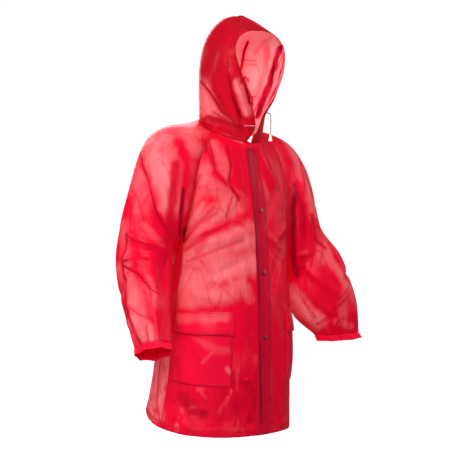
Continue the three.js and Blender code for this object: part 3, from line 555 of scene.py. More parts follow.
def yoke_point(turn, end, arriving, t):
    """A point on the way from the neck ring to an end, with the slope it arrives with."""
    return hermite(neck_point(turn), end, leaving_neck(turn), arriving, t[..., None])


def arriving_at(end, below, pull, seam, near_seam):
    """The slope at the chest or sleeve ring, turned into the armpit near the raglan seam."""
    way = unit(below - end) * pull
    into = np.asarray(INTO_ARMPIT[seam], float)
    return way + (into - way) * near_seam[..., None]


def body_surface(seam, turn, row):
    """The fronts and the back, by the turn at the chest and the row: the yoke's rows and then the body's."""
    size = np.abs(wrapped(turn))
    side = np.where(wrapped(turn) < 0, -1.0, 1.0)
    if seam == "front":
        neck_turn = size / 90 * RAGLAN_FRONT
    else:
        neck_turn = RAGLAN_BACK + (size - 90) / 90 * (180 - RAGLAN_BACK)
    chest = np.full_like(size, CHEST_DOWN)
    end = body_point(turn, chest)
    near_seam = np.clip(1 - np.abs(size - 90) / 60, 0, 1) ** 2
    arriving = arriving_at(end, body_point(turn, chest + 10), YOKE_PULL, seam, near_seam)
    yoke = yoke_point(side * neck_turn, end, arriving, np.minimum(row / YOKE_ROWS, 1))
    down = CHEST_DOWN + np.maximum(row - YOKE_ROWS, 0) / BODY_ROWS * (HEM_DOWN - CHEST_DOWN)
    return np.where((row <= YOKE_ROWS)[..., None], yoke, body_point(turn, down))


def sleeve_surface(table, side, angle, row):
    """A sleeve in one with its shoulder: the yoke's rows and then the tube's."""
    neck_turn = side * (RAGLAN_FRONT + angle / 360 * (RAGLAN_BACK - RAGLAN_FRONT))
    start = np.zeros_like(angle)
    end = sleeve_tube(table, side, start, angle)
    below = sleeve_tube(table, side, start + 0.03, angle)
    near_seam = np.clip(1 - np.minimum(angle, 360 - angle) / 70, 0, 1) ** 2
    front = arriving_at(end, below, SHOULDER_PULL, "front", near_seam)
    back = arriving_at(end, below, SHOULDER_PULL, "back", near_seam)
    arriving = np.where((angle < 180)[..., None], front, back)
    yoke = yoke_point(neck_turn, end, arriving, np.minimum(row / YOKE_ROWS, 1))
    tube = sleeve_tube(table, side, np.maximum(row - YOKE_ROWS, 0) / SLEEVE_ROWS, angle)
    return np.where((row <= YOKE_ROWS)[..., None], yoke, tube)


def hood_point(side, at, back):
    """A point of a hood's half, from its foot up and from the face's edge back to the middle seam."""
    row = along(HOOD, at)
    edge, edge_y, edge_z = row[..., 1], row[..., 2], row[..., 3]
    wide, wide_y, wide_z = row[..., 4], row[..., 5], row[..., 6]
    seam_y, seam_z = row[..., 7], row[..., 8]
    t = np.where(back < 0.5, back * 2, back * 2 - 1)
    first = back < 0.5
    rise = (seam_z - edge_z) / 2
    x = np.where(
        first,
        hermite(edge, wide, (wide - edge) * 1.6, 0, t),
        hermite(wide, 0, 0, -wide * 1.9, t),
    )
    y = np.where(
        first,
        hermite(edge_y, wide_y, (wide_y - edge_y) * 0.9, seam_y - wide_y, t),
        hermite(wide_y, seam_y, (seam_y - wide_y) * 1.4, 0, t),
    )
    z = np.where(
        first,
        hermite(edge_z, wide_z, wide_z - edge_z, rise, t),
        hermite(wide_z, seam_z, rise, seam_z - wide_z, t),
    )
    return np.stack([side * x, y, z], -1)


def hood_surface(side, at, back):
    """The same half with its foot drawn to the neck ring."""
    foot = hood_point(side, np.zeros_like(at), back)
    start = math.degrees(math.asin(HOOD[0][1] / NECK_HALF_WIDTH))
    ring = neck_point(side * (start + (180 - start) * back))
    return hood_point(side, at, back) + (1 - smooth(at / 0.25))[..., None] * (ring - foot)


def panel_grid(rows, columns):
    """Two arrays from 0 to 1: the way down and the way across a panel."""
    return np.meshgrid(np.linspace(0, 1, rows + 1), np.linspace(0, 1, columns + 1), indexing="ij")


def front_panel(side):
    """A front's grid, from the neck down and from the wearer's right to the left."""
    down, across = panel_grid((YOKE_ROWS + BODY_ROWS) * FINE, FRONT_COLUMNS)
    turn = across * 90 if side > 0 else across * 90 - 90
    return body_surface("front", turn, down * (YOKE_ROWS + BODY_ROWS))


def back_panel():
    """The back's grid, from the neck down and from the left seam round to the right one."""
    down, across = panel_grid((YOKE_ROWS + BODY_ROWS) * FINE, BACK_COLUMNS)
    return body_surface("back", 90 + across * 180, down * (YOKE_ROWS + BODY_ROWS))


def sleeve_panel(table, side):
    """A sleeve's grid, from the neck down and round the arm from the seam under it."""
    down, across = panel_grid((YOKE_ROWS + SLEEVE_ROWS) * FINE, SLEEVE_COLUMNS)
    angle = across * 360 if side > 0 else 360 - across * 360
    return sleeve_surface(table, side, angle, down * (YOKE_ROWS + SLEEVE_ROWS))


def hood_panel(side):
    """A hood half's grid, from the crown down to the neck."""
    down, across = panel_grid(HOOD_ROWS, HOOD_COLUMNS)
    return hood_surface(side, 1 - down, across if side > 0 else 1 - across)


def normals_of(grid):
    """Outward normals of a grid whose rows go down and whose columns go round by the left."""
    return unit(np.cross(np.gradient(grid, axis=0), np.gradient(grid, axis=1)))


def lengths_of(grid):
    """Distances along the rows and down the columns, in mm."""
    across = np.zeros(grid.shape[:2])
    across[:, 1:] = np.cumsum(np.linalg.norm(np.diff(grid, axis=1), axis=-1), axis=1)
    down = np.zeros(grid.shape[:2])
    down[1:] = np.cumsum(np.linalg.norm(np.diff(grid, axis=0), axis=-1), axis=0)
    return across, down


def across_view(grid, normal, view):
    """How far each point lies across a view from a turn round the coat, and how much it faces the view."""
    c, s = math.cos(math.radians(view)), math.sin(math.radians(view))
    return grid[..., 0] * c + grid[..., 1] * s, normal[..., 0] * s - normal[..., 1] * c


def fold_lift(panel, grid, normal):
    """How far the creases lift each point along its normal."""
    lift = np.zeros(grid.shape[:2])
    for view, creases in FOLDS[panel]:
        u, facing = across_view(grid, normal, view)
        for u0, z0, u1, z1, width, depth, sharp in creases:
            du, dz = u1 - u0, z1 - z0
            t = np.clip(((u - u0) * du + (grid[..., 2] - z0) * dz) / (du * du + dz * dz), 0, 1)
            away = np.hypot(u - u0 - t * du, grid[..., 2] - z0 - t * dz)
            profile = np.clip(1 - away / width, 0, 1) ** sharp
            ends = 0.35 + 0.65 * np.sin(np.pi * np.clip(t, 0.02, 0.98)) ** 0.6
            lift += depth * smooth(profile) * ends * smooth(facing * 3)
    return lift


def stroke_distance(u, z, points):
    """Distance from each point of a view to a line of points."""
    nearest = np.full(u.shape, 1e9)
    for (u0, z0), (u1, z1) in zip(points, points[1:]):
        du, dz = u1 - u0, z1 - z0
        t = np.clip(((u - u0) * du + (z - z0) * dz) / (du * du + dz * dz), 0, 1)
        nearest = np.minimum(nearest, np.hypot(u - u0 - t * du, z - z0 - t * dz))
    return nearest


def sheen_and_shade_of(panel, grid, normal):
    """The shares of painted sheen and of painted crease shade at each point of a panel, outside and inside.
    """
    painted_sheen = np.zeros(grid.shape[:2])
    depths = {"crease_shade": np.zeros(grid.shape[:2]), "inner crease": np.zeros(grid.shape[:2])}
    ragged = wrinkle_lift(grid, 30, 5)
    for kind, view, strokes in SHEEN_AND_SHADE_STROKES[panel]:
        u, facing = across_view(grid, normal, view)
        shown = smooth((-facing if kind == "inner crease" else facing) * 4)
        for width, strength, *line in strokes:
            away = stroke_distance(u, grid[..., 2], list(zip(line[::2], line[1::2])))
            # sheen strokes paint a highlight; crease strokes paint shade, with a wider, softer flank of shade
            # beside the thin ones
            if kind == "painted_sheen":
                reach = width * (1.6 + 0.5 * ragged)
                painted_sheen = 1 - (1 - painted_sheen) * (1 - strength * smooth(1.25 - away / reach) * shown)
            else:
                core = smooth(1.3 - away / (width * (1.0 + 0.5 * ragged)))
                flank = smooth(1 - away / (width * 4.5)) * (width < 4)
                depths[kind] = np.maximum(depths[kind], strength * np.maximum(core, 0.4 * flank) * shown)
    return painted_sheen, depths["crease_shade"], depths["inner crease"]


def wrinkle_lift(grid, size, seed):
    """Small uneven ridges, as thin film takes from its folding."""
    flat = grid.reshape(-1, 3)
    offset = Vector((seed * 7.3, seed * 3.1, seed * 5.7))
    values = [
        noise.ridged_multi_fractal(Vector((x, y, z * 0.7)) / size + offset, 0.9, 2.1, 3, 0.9, 1.6)
        for x, y, z in flat.tolist()
    ]
    values = np.asarray(values).reshape(grid.shape[:2])
    return values - values.mean()


def facets(grid, size, seed):
    """Flat facets with crisp borders, as film keeps from its packing: the lift, and the way to a border."""
    noise.seed_set(seed)
    flat = grid.reshape(-1, 3)
    offset = Vector((seed * 5.9, seed * 2.3, seed * 4.1))
    lift, border = np.zeros(len(flat)), np.zeros(len(flat))
    for i, (x, y, z) in enumerate(flat.tolist()):
        place = Vector((x, y, z * 0.55)) / size + offset
        place += noise.noise_vector(place * 1.7) * 0.22
        distances, cells = noise.voronoi(place)
        slope = noise.noise_vector(cells[0] * 7.31)
        lift[i] = (place - cells[0]).dot(slope)
        border[i] = distances[1] - distances[0]
    inside = smooth(border / 0.22)
    return (lift * inside * 2).reshape(grid.shape[:2]), border.reshape(grid.shape[:2])


def seam_fade(grid, edges, reach):
    """0 on the sewn edges and 1 further in."""
    across, down = lengths_of(grid)
    fade = np.ones(grid.shape[:2])
    distances = {
        "first": across,
        "last": across[:, -1:] - across,
        "top": down,
        "bottom": down[-1:] - down,
    }
    for edge in edges:
        fade *= smooth(distances[edge] / reach)
    return fade


SEAMS = {
    "front_right": ("first", "last", "top"),
    "front_left": ("first", "last", "top"),
    "back": ("first", "last", "top"),
    "sleeve_right": ("first", "last", "top", "bottom"),
    "sleeve_left": ("first", "last", "top", "bottom"),
    "hood_right": ("first", "top", "bottom"),
    "hood_left": ("last", "top", "bottom"),
}


def turned_band(panel, grid):
    """1 where the edge is turned in and doubled: the hems, and the casing of the drawcord round the face."""
    across, down = lengths_of(grid)
    if panel in ("front_right", "front_left", "back"):
        return smooth((HEM_WIDTH - (down[-1:] - down)) / 1.5)
    if panel == "hood_left":
        return smooth((CASING_WIDTH - across) / 1.5)
    if panel == "hood_right":
        return smooth((CASING_WIDTH - (across[:, -1:] - across)) / 1.5)
    return np.zeros(grid.shape[:2])


def draped(panel, grid, seed):
    """The panel with its creases, facets and turned edges. Its painted sheen and painted shade are kept for
    its material.
    """
    normal = normals_of(grid)
    across, down = lengths_of(grid)
    lift = fold_lift(panel, grid, normal)
    broad, border = facets(grid, FACET, seed)
    painted_sheen, crease_shade, inner = sheen_and_shade_of(panel, grid, normal)
    lift += 1.6 * painted_sheen - 1.8 * crease_shade + 1.2 * inner
    # painted shade along the facets' borders and painted sheen on the facets, in broad patches, weaker on the
    # left front and the hood's right half
    patches = np.clip(0.5 + wrinkle_lift(grid, PATCH, seed + 3), 0, 1)
    crease_shade = np.maximum(crease_shade, 0.16 * patches * smooth(1 - border / 0.1))
    inner = np.maximum(inner, 0.1 * patches * smooth(1 - border / 0.05))
    sheen_paint = 0.1 if panel in ("front_left", "hood_right") else 0.3
    painted_sheen = 1 - (1 - painted_sheen) * (1 - sheen_paint * patches * smooth(broad * 1.6))
    # the skirt's small crumples: a relief, with painted shade in their hollows and painted sheen on their
    # tops, weaker on the back
    small, _ = facets(grid, SMALL_FACET, seed + 9)
    skirt = smooth((SKIRT_TOP - grid[..., 2]) / SKIRT_REACH) * (0.35 + 0.65 * patches)
    skirt = skirt * (0.55 if panel == "back" else 1)
    lift += 2.0 * skirt * small
    crease_shade = np.maximum(crease_shade, 0.6 * skirt * smooth(0.15 - small * 2.4))
    painted_sheen = 1 - (1 - painted_sheen) * (1 - 0.45 * skirt * smooth(small * 3 - 0.9))
    lift = lift * seam_fade(grid, SEAMS[panel], SEAM_HOLD)
    # the turned hems and the casing: doubled film of a deeper red, carried in the same shares as the painted
    # crease shade, and a small ripple
    band = turned_band(panel, grid)
    crease_shade = np.maximum(crease_shade, (0.14 if panel == "hood_right" else 0.3) * band)
    inner = np.maximum(inner, 0.35 * band)
    lift += band * (0.5 + 0.5 * np.sin(across / 3.1 + 2 * np.sin(across / 23)) * np.sin(down / 4.3))
    PANEL_SHEEN_AND_SHADE[panel] = (painted_sheen, crease_shade, inner)
    return grid + normal * lift[..., None]


# What is made once and used again: draped panels, their painted sheen and shade, and the pieces that lie on
# the fronts.
TRIM_GRIDS = []
PANELS = {}
PANEL_SHEEN_AND_SHADE = {}


def panel(name):
    """A draped panel's grid and normals, made once."""
    if name not in PANELS:
        makers = {
            "front_right": lambda: front_panel(-1),
            "front_left": lambda: front_panel(1),
            "back": back_panel,
            "sleeve_right": lambda: sleeve_panel(RIGHT_SLEEVE, -1),
            "sleeve_left": lambda: sleeve_panel(LEFT_SLEEVE, 1),
            "hood_right": lambda: hood_panel(-1),
            "hood_left": lambda: hood_panel(1),
        }
        grid = draped(name, makers[name](), list(makers).index(name) * 2 + 1)
        PANELS[name] = (grid, normals_of(grid))
    return PANELS[name]


def wall_mesh(name, outer, inner, tube=False):
    """A closed mesh between two grids in mm, with a UV map in metres along the cloth."""
    rows, columns = outer.shape[:2]
    vertices = np.concatenate([outer.reshape(-1, 3), inner.reshape(-1, 3)]) * MM
    index = np.arange(rows * columns).reshape(rows, columns)
    if tube:
        index = np.concatenate([index, index[:, :1]], axis=1)
    base = rows * columns
    a, b, c, d = index[:-1, :-1], index[1:, :-1], index[1:, 1:], index[:-1, 1:]
    quads = [np.stack([a, b, c, d], -1).reshape(-1, 4)]
    quads.append(np.stack([a, d, c, b], -1).reshape(-1, 4) + base)
    top, low = index[0], index[-1]
    quads.append(np.stack([top[:-1], top[1:], top[1:] + base, top[:-1] + base], -1))
    quads.append(np.stack([low[:-1], low[:-1] + base, low[1:] + base, low[1:]], -1))
    if not tube:
        left, right = index[:, 0], index[:, -1]
        quads.append(np.stack([left[:-1], left[:-1] + base, left[1:] + base, left[1:]], -1))
        quads.append(np.stack([right[:-1], right[1:], right[1:] + base, right[:-1] + base], -1))
    quads = np.concatenate(quads)
    mesh = bpy.data.meshes.new(name)
    mesh.from_pydata(vertices.tolist(), [], quads.tolist())
    across, down = lengths_of(outer)
    uv = np.stack([across.ravel(), -down.ravel()], -1) * MM
    uv = np.concatenate([uv, uv])
    layer = mesh.uv_layers.new(name="cloth")
    layer.data.foreach_set("uv", uv[quads.ravel()].astype(np.float32).ravel())
    mesh.polygons.foreach_set("use_smooth", np.ones(len(quads), bool))
    mesh.validate()
    return mesh


def add_object(name, mesh):
    """Puts a mesh into the scene as a piece at the origin."""
    piece = bpy.data.objects.new(name, mesh)
    bpy.context.scene.collection.objects.link(piece)
    return piece


def sample(name, row_share, column_share, out):
    """Points of a draped panel by shares of its rows and columns from 0 to 1, moved out along the normal."""
    grid, normal = panel(name)
    r = np.clip(row_share, 0, 1) * (grid.shape[0] - 1)
    c = np.clip(column_share, 0, 1) * (grid.shape[1] - 1)
    r0, c0 = np.minimum(r.astype(int), grid.shape[0] - 2), np.minimum(c.astype(int), grid.shape[1] - 2)
    fr, fc = (r - r0)[..., None], (c - c0)[..., None]

    def between(field):
        upper = field[r0, c0] * (1 - fc) + field[r0, c0 + 1] * fc
        lower = field[r0 + 1, c0] * (1 - fc) + field[r0 + 1, c0 + 1] * fc
        return upper * (1 - fr) + lower * fr

    return between(grid) + between(normal) * np.asarray(out)[..., None]


def column_share(name, row_share, away):
    """Where a point lies across a front, from its distance round from the middle of the front in mm."""
    grid, _ = panel(name)
    r = np.clip(np.round(row_share * (grid.shape[0] - 1)).astype(int), 0, grid.shape[0] - 1)
    line = grid[r]
    if name == "front_right":
        line = line[::-1]
    walked = np.concatenate([[0], np.cumsum(np.linalg.norm(np.diff(line, axis=0), axis=-1))])
    share = np.interp(away, walked, np.linspace(0, 1, len(walked)))
    return 1 - share if name == "front_right" else share


# Materials

RGBA = {"data_type": "RGBA"}
TINT = {"data_type": "RGBA", "blend_type": "MULTIPLY"}
PRODUCT = {"operation": "MULTIPLY"}


def linear(hex_colour):
    """An sRGB hex colour as Blender's linear numbers."""
    channels = [int(hex_colour[i : i + 2], 16) / 255 for i in (1, 3, 5)]
    return [c / 12.92 if c <= 0.04045 else ((c + 0.055) / 1.055) ** 2.4 for c in channels] + [1.0]


def node(tree, kind, settings=None, **inputs):
    """Adds a node, with its settings, and sets or links its inputs by name or number."""
    made = tree.nodes.new(kind)
    for key, value in (settings or {}).items():
        setattr(made, key, value)
    for key, value in inputs.items():
        numbered = key[0] == "i" and key[1:].isdigit()
        socket = made.inputs[int(key[1:]) if numbered else key.replace("_", " ")]
        if isinstance(value, bpy.types.NodeSocket):
            tree.links.new(value, socket)
        else:
            socket.default_value = value
    return made


def new_material(name):
    """A material with an empty node tree."""
    material = bpy.data.materials.new(name)
    material.use_nodes = True
    material.node_tree.nodes.clear()
    return material


def film_material(
    name, colour, deep, through, clear, clearness, roughness,
    sheen_paint="#ff8c94", bend_shade_and_hem="#dc0430", doubled="#70011a", cloudiness=0.3, painted_glow=0.0,
):
    """Soft calendered vinyl, a little cloudy: light comes through it, and its skin has a satin gloss.

    Its sheen is painted: it goes pale where the painted sheen lies, as a highlight. Its shade is painted too:
    a bend takes it to a clear red and a sharp fold to a dark one; the turned hems take the same clear red as
    doubled film.
    """
    tree = new_material(name).node_tree
    place = node(tree, "ShaderNodeTexCoord").outputs["Object"]
    cloud = node(tree, "ShaderNodeTexNoise", Vector=place, Scale=9.0, Detail=3.0)
    shade = node(tree, "ShaderNodeMix", RGBA, Factor=cloud.outputs["Fac"], i6=colour, i7=linear(deep))
    # crumples of about 38 mm and a grain of about 17 mm, wide enough to catch the light from afar
    warp = node(tree, "ShaderNodeTexNoise", Vector=place, Scale=22.0).outputs["Color"]
    warped = node(tree, "ShaderNodeMix", {"data_type": "VECTOR"}, Factor=0.06, i4=place, i5=warp).outputs[1]
    crumple = node(
        tree, "ShaderNodeTexVoronoi", {"feature": "DISTANCE_TO_EDGE"}, Vector=warped, Scale=26.0
    ).outputs["Distance"]
    border = node(tree, "ShaderNodeMath", {"operation": "MINIMUM"}, i0=crumple, i1=0.12).outputs[0]
    grain = node(tree, "ShaderNodeTexNoise", Vector=place, Scale=60.0, Detail=4.0).outputs["Fac"]
    relief = node(tree, "ShaderNodeMath", {"operation": "MULTIPLY_ADD"}, i0=grain, i1=0.12, i2=border)
    bump = node(tree, "ShaderNodeBump", Strength=0.35, Distance=0.004, Height=relief.outputs[0]).outputs[0]
    # streaks that run down the cloth and break up its painted sheen and its painted crease shade
    slanted = node(tree, "ShaderNodeMapping", Vector=place, Rotation=(0.3, 0.5, 0.2), Scale=(1.7, 1.7, 0.45))
    streaks = node(
        tree, "ShaderNodeTexNoise", Vector=slanted.outputs[0], Scale=24.0, Detail=5.0, Roughness=0.65
    ).outputs["Fac"]
    # the painted sheen and the painted crease shade kept at each point; the shade share also holds the deeper
    # red of the turned hems
    painted_sheen = node(tree, "ShaderNodeAttribute", {"attribute_name": "painted_sheen"}).outputs["Fac"]
    crease_shade = node(tree, "ShaderNodeAttribute", {"attribute_name": "crease_shade"}).outputs["Fac"]
    kept = node(tree, "ShaderNodeMapRange", Value=crease_shade, i1=0.0, i2=0.6, i3=1.9, i4=0.0).outputs[0]
    streaked = node(tree, "ShaderNodeMath", PRODUCT, i0=painted_sheen, i1=streaks).outputs[0]
    sheen_share = node(tree, "ShaderNodeMath", {**PRODUCT, "use_clamp": True}, i0=streaked, i1=kept).outputs[0]
    broken = node(tree, "ShaderNodeMapRange", Value=streaks, i1=0.3, i2=0.62, i3=0.6, i4=1.0).outputs[0]
    crease_shade_share = node(tree, "ShaderNodeMath", PRODUCT, i0=crease_shade, i1=broken).outputs[0]
    bend_shade_share = node(tree, "ShaderNodeMapRange", Value=crease_shade_share, i1=0.0, i2=0.5, i3=0.0, i4=1.0).outputs[0]
    fold_shade_share = node(tree, "ShaderNodeMapRange", Value=crease_shade_share, i1=0.45, i2=1.0, i3=0.0, i4=1.0).outputs[0]

    def deepened(flat):
        """From a colour, over its painted sheen and the painted clear red of a soft bend, to the painted dark
        shade of a sharp fold.
        """
        for share, goal in ((sheen_share, sheen_paint), (bend_shade_share, bend_shade_and_hem), (fold_shade_share, doubled)):
            flat = node(tree, "ShaderNodeMix", RGBA, Factor=share, i6=flat, i7=linear(goal)).outputs[2]
        return flat

    # the light through the film takes the same painted sheen and shade
    shut = deepened(linear(through))
    skin = node(
        tree,
        "ShaderNodeBsdfPrincipled",
        Base_Color=deepened(shade.outputs[2]),
        Roughness=roughness,
        IOR=1.5,
        Specular_IOR_Level=0.07,
        Coat_Weight=0.08,
        Coat_Roughness=0.2,
        # a painted glow: where it is above nought, the skin gives out light of its own in the colour of the
        # light through it
        Emission_Color=shut,
        Emission_Strength=painted_glow,
        Normal=bump,
    )
    glow = node(tree, "ShaderNodeBsdfTranslucent", Color=shut, Normal=bump)
    cloudy = node(tree, "ShaderNodeMixShader", i0=cloudiness, i1=skin.outputs[0], i2=glow.outputs[0])
    see = node(tree, "ShaderNodeBsdfTransparent", Color=linear(clear))
    # painted shade also makes the creases less clear
    shown = node(tree, "ShaderNodeMapRange", Value=crease_shade_share, i1=0.0, i2=0.8, i3=clearness, i4=0.0).outputs[0]
    film = node(tree, "ShaderNodeMixShader", i0=shown, i1=cloudy.outputs[0], i2=see.outputs[0])
    node(tree, "ShaderNodeOutputMaterial", Surface=film.outputs[0])


def floor_material(name):
    """The matt white of a light table, which looks lit and sends the coat only a little light."""
    tree = new_material(name).node_tree
    paint = node(tree, "ShaderNodeBsdfDiffuse", Color=linear("#8a8a8a")).outputs[0]
    glow = node(tree, "ShaderNodeEmission", Color=(1, 1, 1, 1), Strength=1.0).outputs[0]
    lit = node(tree, "ShaderNodeAddShader", i0=paint, i1=glow).outputs[0]
    by_eye = node(tree, "ShaderNodeLightPath").outputs["Is Camera Ray"]
    both = node(tree, "ShaderNodeMixShader", i0=by_eye, i1=paint, i2=lit)
    node(tree, "ShaderNodeOutputMaterial", Surface=both.outputs[0])


def moulded_material(name, colour, roughness):
    """Injection moulded plastic: an even colour and a soft highlight with a faint orange peel."""
    tree = new_material(name).node_tree
    place = node(tree, "ShaderNodeTexCoord").outputs["Object"]
    peel = node(tree, "ShaderNodeTexNoise", Vector=place, Scale=900.0, Detail=2.0)
    bump = node(tree, "ShaderNodeBump", Strength=0.15, Distance=0.0003, Height=peel.outputs["Fac"]).outputs[0]
    tint = node(tree, "ShaderNodeMix", TINT, Factor=0.12, i6=colour, i7=peel.outputs["Color"]).outputs[2]
    skin = node(tree, "ShaderNodeBsdfPrincipled", Base_Color=tint, Roughness=roughness, Normal=bump)
    node(tree, "ShaderNodeOutputMaterial", Surface=skin.outputs[0])


def thread_material(name, colour):
    """Twisted polyester thread and cotton braid: matt, with a fine slanting grain."""
    tree = new_material(name).node_tree
    place = node(tree, "ShaderNodeTexCoord").outputs["Object"]
    turned = node(tree, "ShaderNodeMapping", Vector=place, Rotation=(0.6, 0.4, 0.7)).outputs[0]
    twist = node(tree, "ShaderNodeTexWave", Vector=turned, Scale=420.0, Distortion=1.5)
    tint = node(tree, "ShaderNodeMix", TINT, Factor=0.3, i6=colour, i7=twist.outputs["Color"]).outputs[2]
    bump = node(tree, "ShaderNodeBump", Strength=0.5, Distance=0.0004, Height=twist.outputs["Fac"]).outputs[0]
    skin = node(tree, "ShaderNodeBsdfPrincipled", Base_Color=tint, Roughness=0.8, Normal=bump)
    node(tree, "ShaderNodeOutputMaterial", Surface=skin.outputs[0])


def material(name):
    """One of the coat's materials, made when it is first asked for."""
    if name in bpy.data.materials:
        return bpy.data.materials[name]
    chosen = bpy.context.scene.raincoat
    if name == "body film":
        film_material(name, tuple(chosen.film), "#f00638", "#ff0e38", "#ff6c78", 0.16, 0.5)
    elif name == "hood film":
        # painted shade: a darker red than the body's film, for the hood's far half seen through the near one
        # and the shade within it
        looks = ("#a6021e", "#fa2440", "#ff5464", 0.08, 0.5)
        film_material(name, tuple(chosen.hood_film), *looks, bend_shade_and_hem="#a6021c", cloudiness=0.26)
    elif name == "hood inside":
        # painted backlight: the film's inside is painted a pale pink and given a faint glow of its own, for
        # the light that comes through the film from behind, with painted dark red shade in its folds
        looks = ("#ffd0d4", "#ffb4b8", "#ffe4e6", 0.35, 0.5)
        film_material(name, linear("#ffe2e4"), *looks, bend_shade_and_hem="#f4244c", doubled="#78001a", painted_glow=0.4)
    elif name == "doubled film":
        # two layers, less clear and of a fuller red
        looks = ("#f4083a", "#ff0c38", "#ff4858", 0.1, 0.55)
        film_material(name, linear("#ff0c40"), *looks, cloudiness=0.16)
    elif name == "storm flap film":
        # doubled film over the edges of the fronts, the deepest red
        looks = ("#d0042c", "#e80a34", "#e84858", 0.06, 0.6)
        film_material(name, linear("#e00634"), *looks, bend_shade_and_hem="#b40428", cloudiness=0.16)
    elif name == "lit floor":
        floor_material(name)
    elif name == "moulded red":
        moulded_material(name, tuple(chosen.studs), 0.3)
    elif name == "moulded white":
        moulded_material(name, tuple(chosen.stoppers), 0.42)
    elif name == "red thread":
        thread_material(name, tuple(chosen.thread_colour))
    elif name == "white braid":
        thread_material(name, tuple(chosen.braid))
    else:
        raise ValueError("no material is named " + name)
    return bpy.data.materials[name]


def finish_piece(piece, nodes, material_name):
    """Gives a piece its material, its place in the frame and the nodes that it stands for."""
    piece.data.materials.clear()
    piece.data.materials.append(material(material_name))
    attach(piece, "root")
    if nodes:
        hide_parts(*nodes)
    return piece


def state_sheet(grid):
    """Measures a piece of cloth along its rows and down its columns; the lengths are not kept."""
    across, down = lengths_of(grid)


def store(mesh, name, outer, inner):
    """Keeps a number at each point of a wall, for its material."""
    kept = mesh.attributes.new(name, "FLOAT", "POINT")
    kept.data.foreach_set("value", np.concatenate([outer.ravel(), inner.ravel()]).astype(np.float32))


def add_wall(name, outer, inner, material_name, tube=False):
    """Adds the wall of film between two grids, in place of the solid of that name."""
    piece = add_object(name + "_film", wall_mesh(name + "_film", outer, inner, tube))
    return finish_piece(piece, [name], material_name)


def add_panel(name, material_name, inside=None):
    """Adds one of the coat's panels, with another material for its inner face if one is named."""
    grid, normal = panel(name)
    piece = add_wall(name, grid, grid - normal * WALL, material_name)
    painted_sheen, crease_shade, inner = PANEL_SHEEN_AND_SHADE[name]
    store(piece.data, "painted_sheen", painted_sheen, painted_sheen)
    store(piece.data, "crease_shade", crease_shade, inner)
    if inside:
        quads = (grid.shape[0] - 1) * (grid.shape[1] - 1)
        skins = np.zeros(len(piece.data.polygons), np.int32)
        skins[quads : quads * 2] = 1
        piece.data.materials.append(material(inside))
        piece.data.polygons.foreach_set("material_index", skins)
    state_sheet(grid)


def add_trim(name, outer, inner, material_name):
    """Adds a piece that lies on a front, with its painted sheen and painted crease shade."""
    piece = add_wall(name, outer, inner, material_name)
    TRIM_GRIDS.append(outer)
    painted_sheen, crease_shade, inner_crease_shade = sheen_and_shade_of("trims", outer, normals_of(outer))
    store(piece.data, "painted_sheen", painted_sheen, painted_sheen)
    store(piece.data, "crease_shade", crease_shade, inner_crease_shade)
    state_sheet(outer)


def ring_faces(rings, sides):
    """The faces between rings of points."""
    return [
        (r * sides + k, r * sides + (k + 1) % sides, (r + 1) * sides + (k + 1) % sides, (r + 1) * sides + k)
        for r in range(rings - 1)
        for k in range(sides)
    ]


def closed_form(name, vertices, faces):
    """Adds a form from points in metres, its doubled points merged and every face turned outwards."""
    mesh = bpy.data.meshes.new(name)
    mesh.from_pydata(vertices, [], faces)
    form = bmesh.new()
    form.from_mesh(mesh)
    bmesh.ops.remove_doubles(form, verts=form.verts, dist=1e-6)
    bmesh.ops.recalc_face_normals(form, faces=form.faces)
    form.to_mesh(mesh)
    form.free()
    mesh.polygons.foreach_set("use_smooth", np.ones(len(mesh.polygons), bool))
    return add_object(name, mesh)


def turned_form(name, profile, sides, foot, axis, rise=0.0):
    """Adds a form of revolution from radii and heights in mm, standing on its foot along an axis."""
    turn = Vector((0, 0, 1)).rotation_difference(axis)
    vertices = []
    for radius, height in profile:
        for k in range(sides):
            a = 2 * math.pi * k / sides
            point = Vector((radius * math.cos(a), radius * math.sin(a), height + rise)) * MM
            vertices.append(turn @ point + foot)
    return closed_form(name, vertices, ring_faces(len(profile), sides))


def colour_property(name, description, hex_colour):
    """A colour that a user may change."""
    colour = linear(hex_colour)
    return FloatVectorProperty(
        name=name, description=description, subtype="COLOR", size=4, default=colour, min=0.0, max=1.0
    )


class RaincoatSizes(bpy.types.PropertyGroup):
    """Sizes and colours that a user may change."""

    lens: FloatProperty(
        name="Lens", description="Focal length of the camera", default=80.0, min=20.0, unit="CAMERA"
    )
    distance: FloatProperty(
        name="Camera distance", description="From the camera to the coat", default=2.4, unit="LENGTH"
    )
    turn: FloatProperty(
        name="Turn", description="The camera's turn", default=math.radians(-42), subtype="ANGLE"
    )
    stitch: FloatProperty(
        name="Stitch length", description="Length of one stitch", default=0.0032, unit="LENGTH"
    )
    thread: FloatProperty(
        name="Thread", description="Thickness of the sewing thread", default=0.0007, unit="LENGTH"
    )
    snap_sides: IntProperty(name="Stud sides", description="Sides of a press stud's rim", default=48, min=12)
    film: colour_property("Film", "Colour of the body's and the sleeves' film", "#fa083e")
    # the hood film's colour is painted darker, as shade
    hood_film: colour_property("Hood film", "Colour of the hood's film from outside", "#c40426")
    studs: colour_property("Studs", "Colour of the moulded press studs", "#7c0418")
    stoppers: colour_property("Stoppers", "Colour of the drawcord's moulded stoppers", "#f2f0ee")
    thread_colour: colour_property("Thread colour", "Colour of the sewing thread", "#b40a22")
    braid: colour_property("Drawcord", "Colour of the drawcord's braid", "#cc8088")


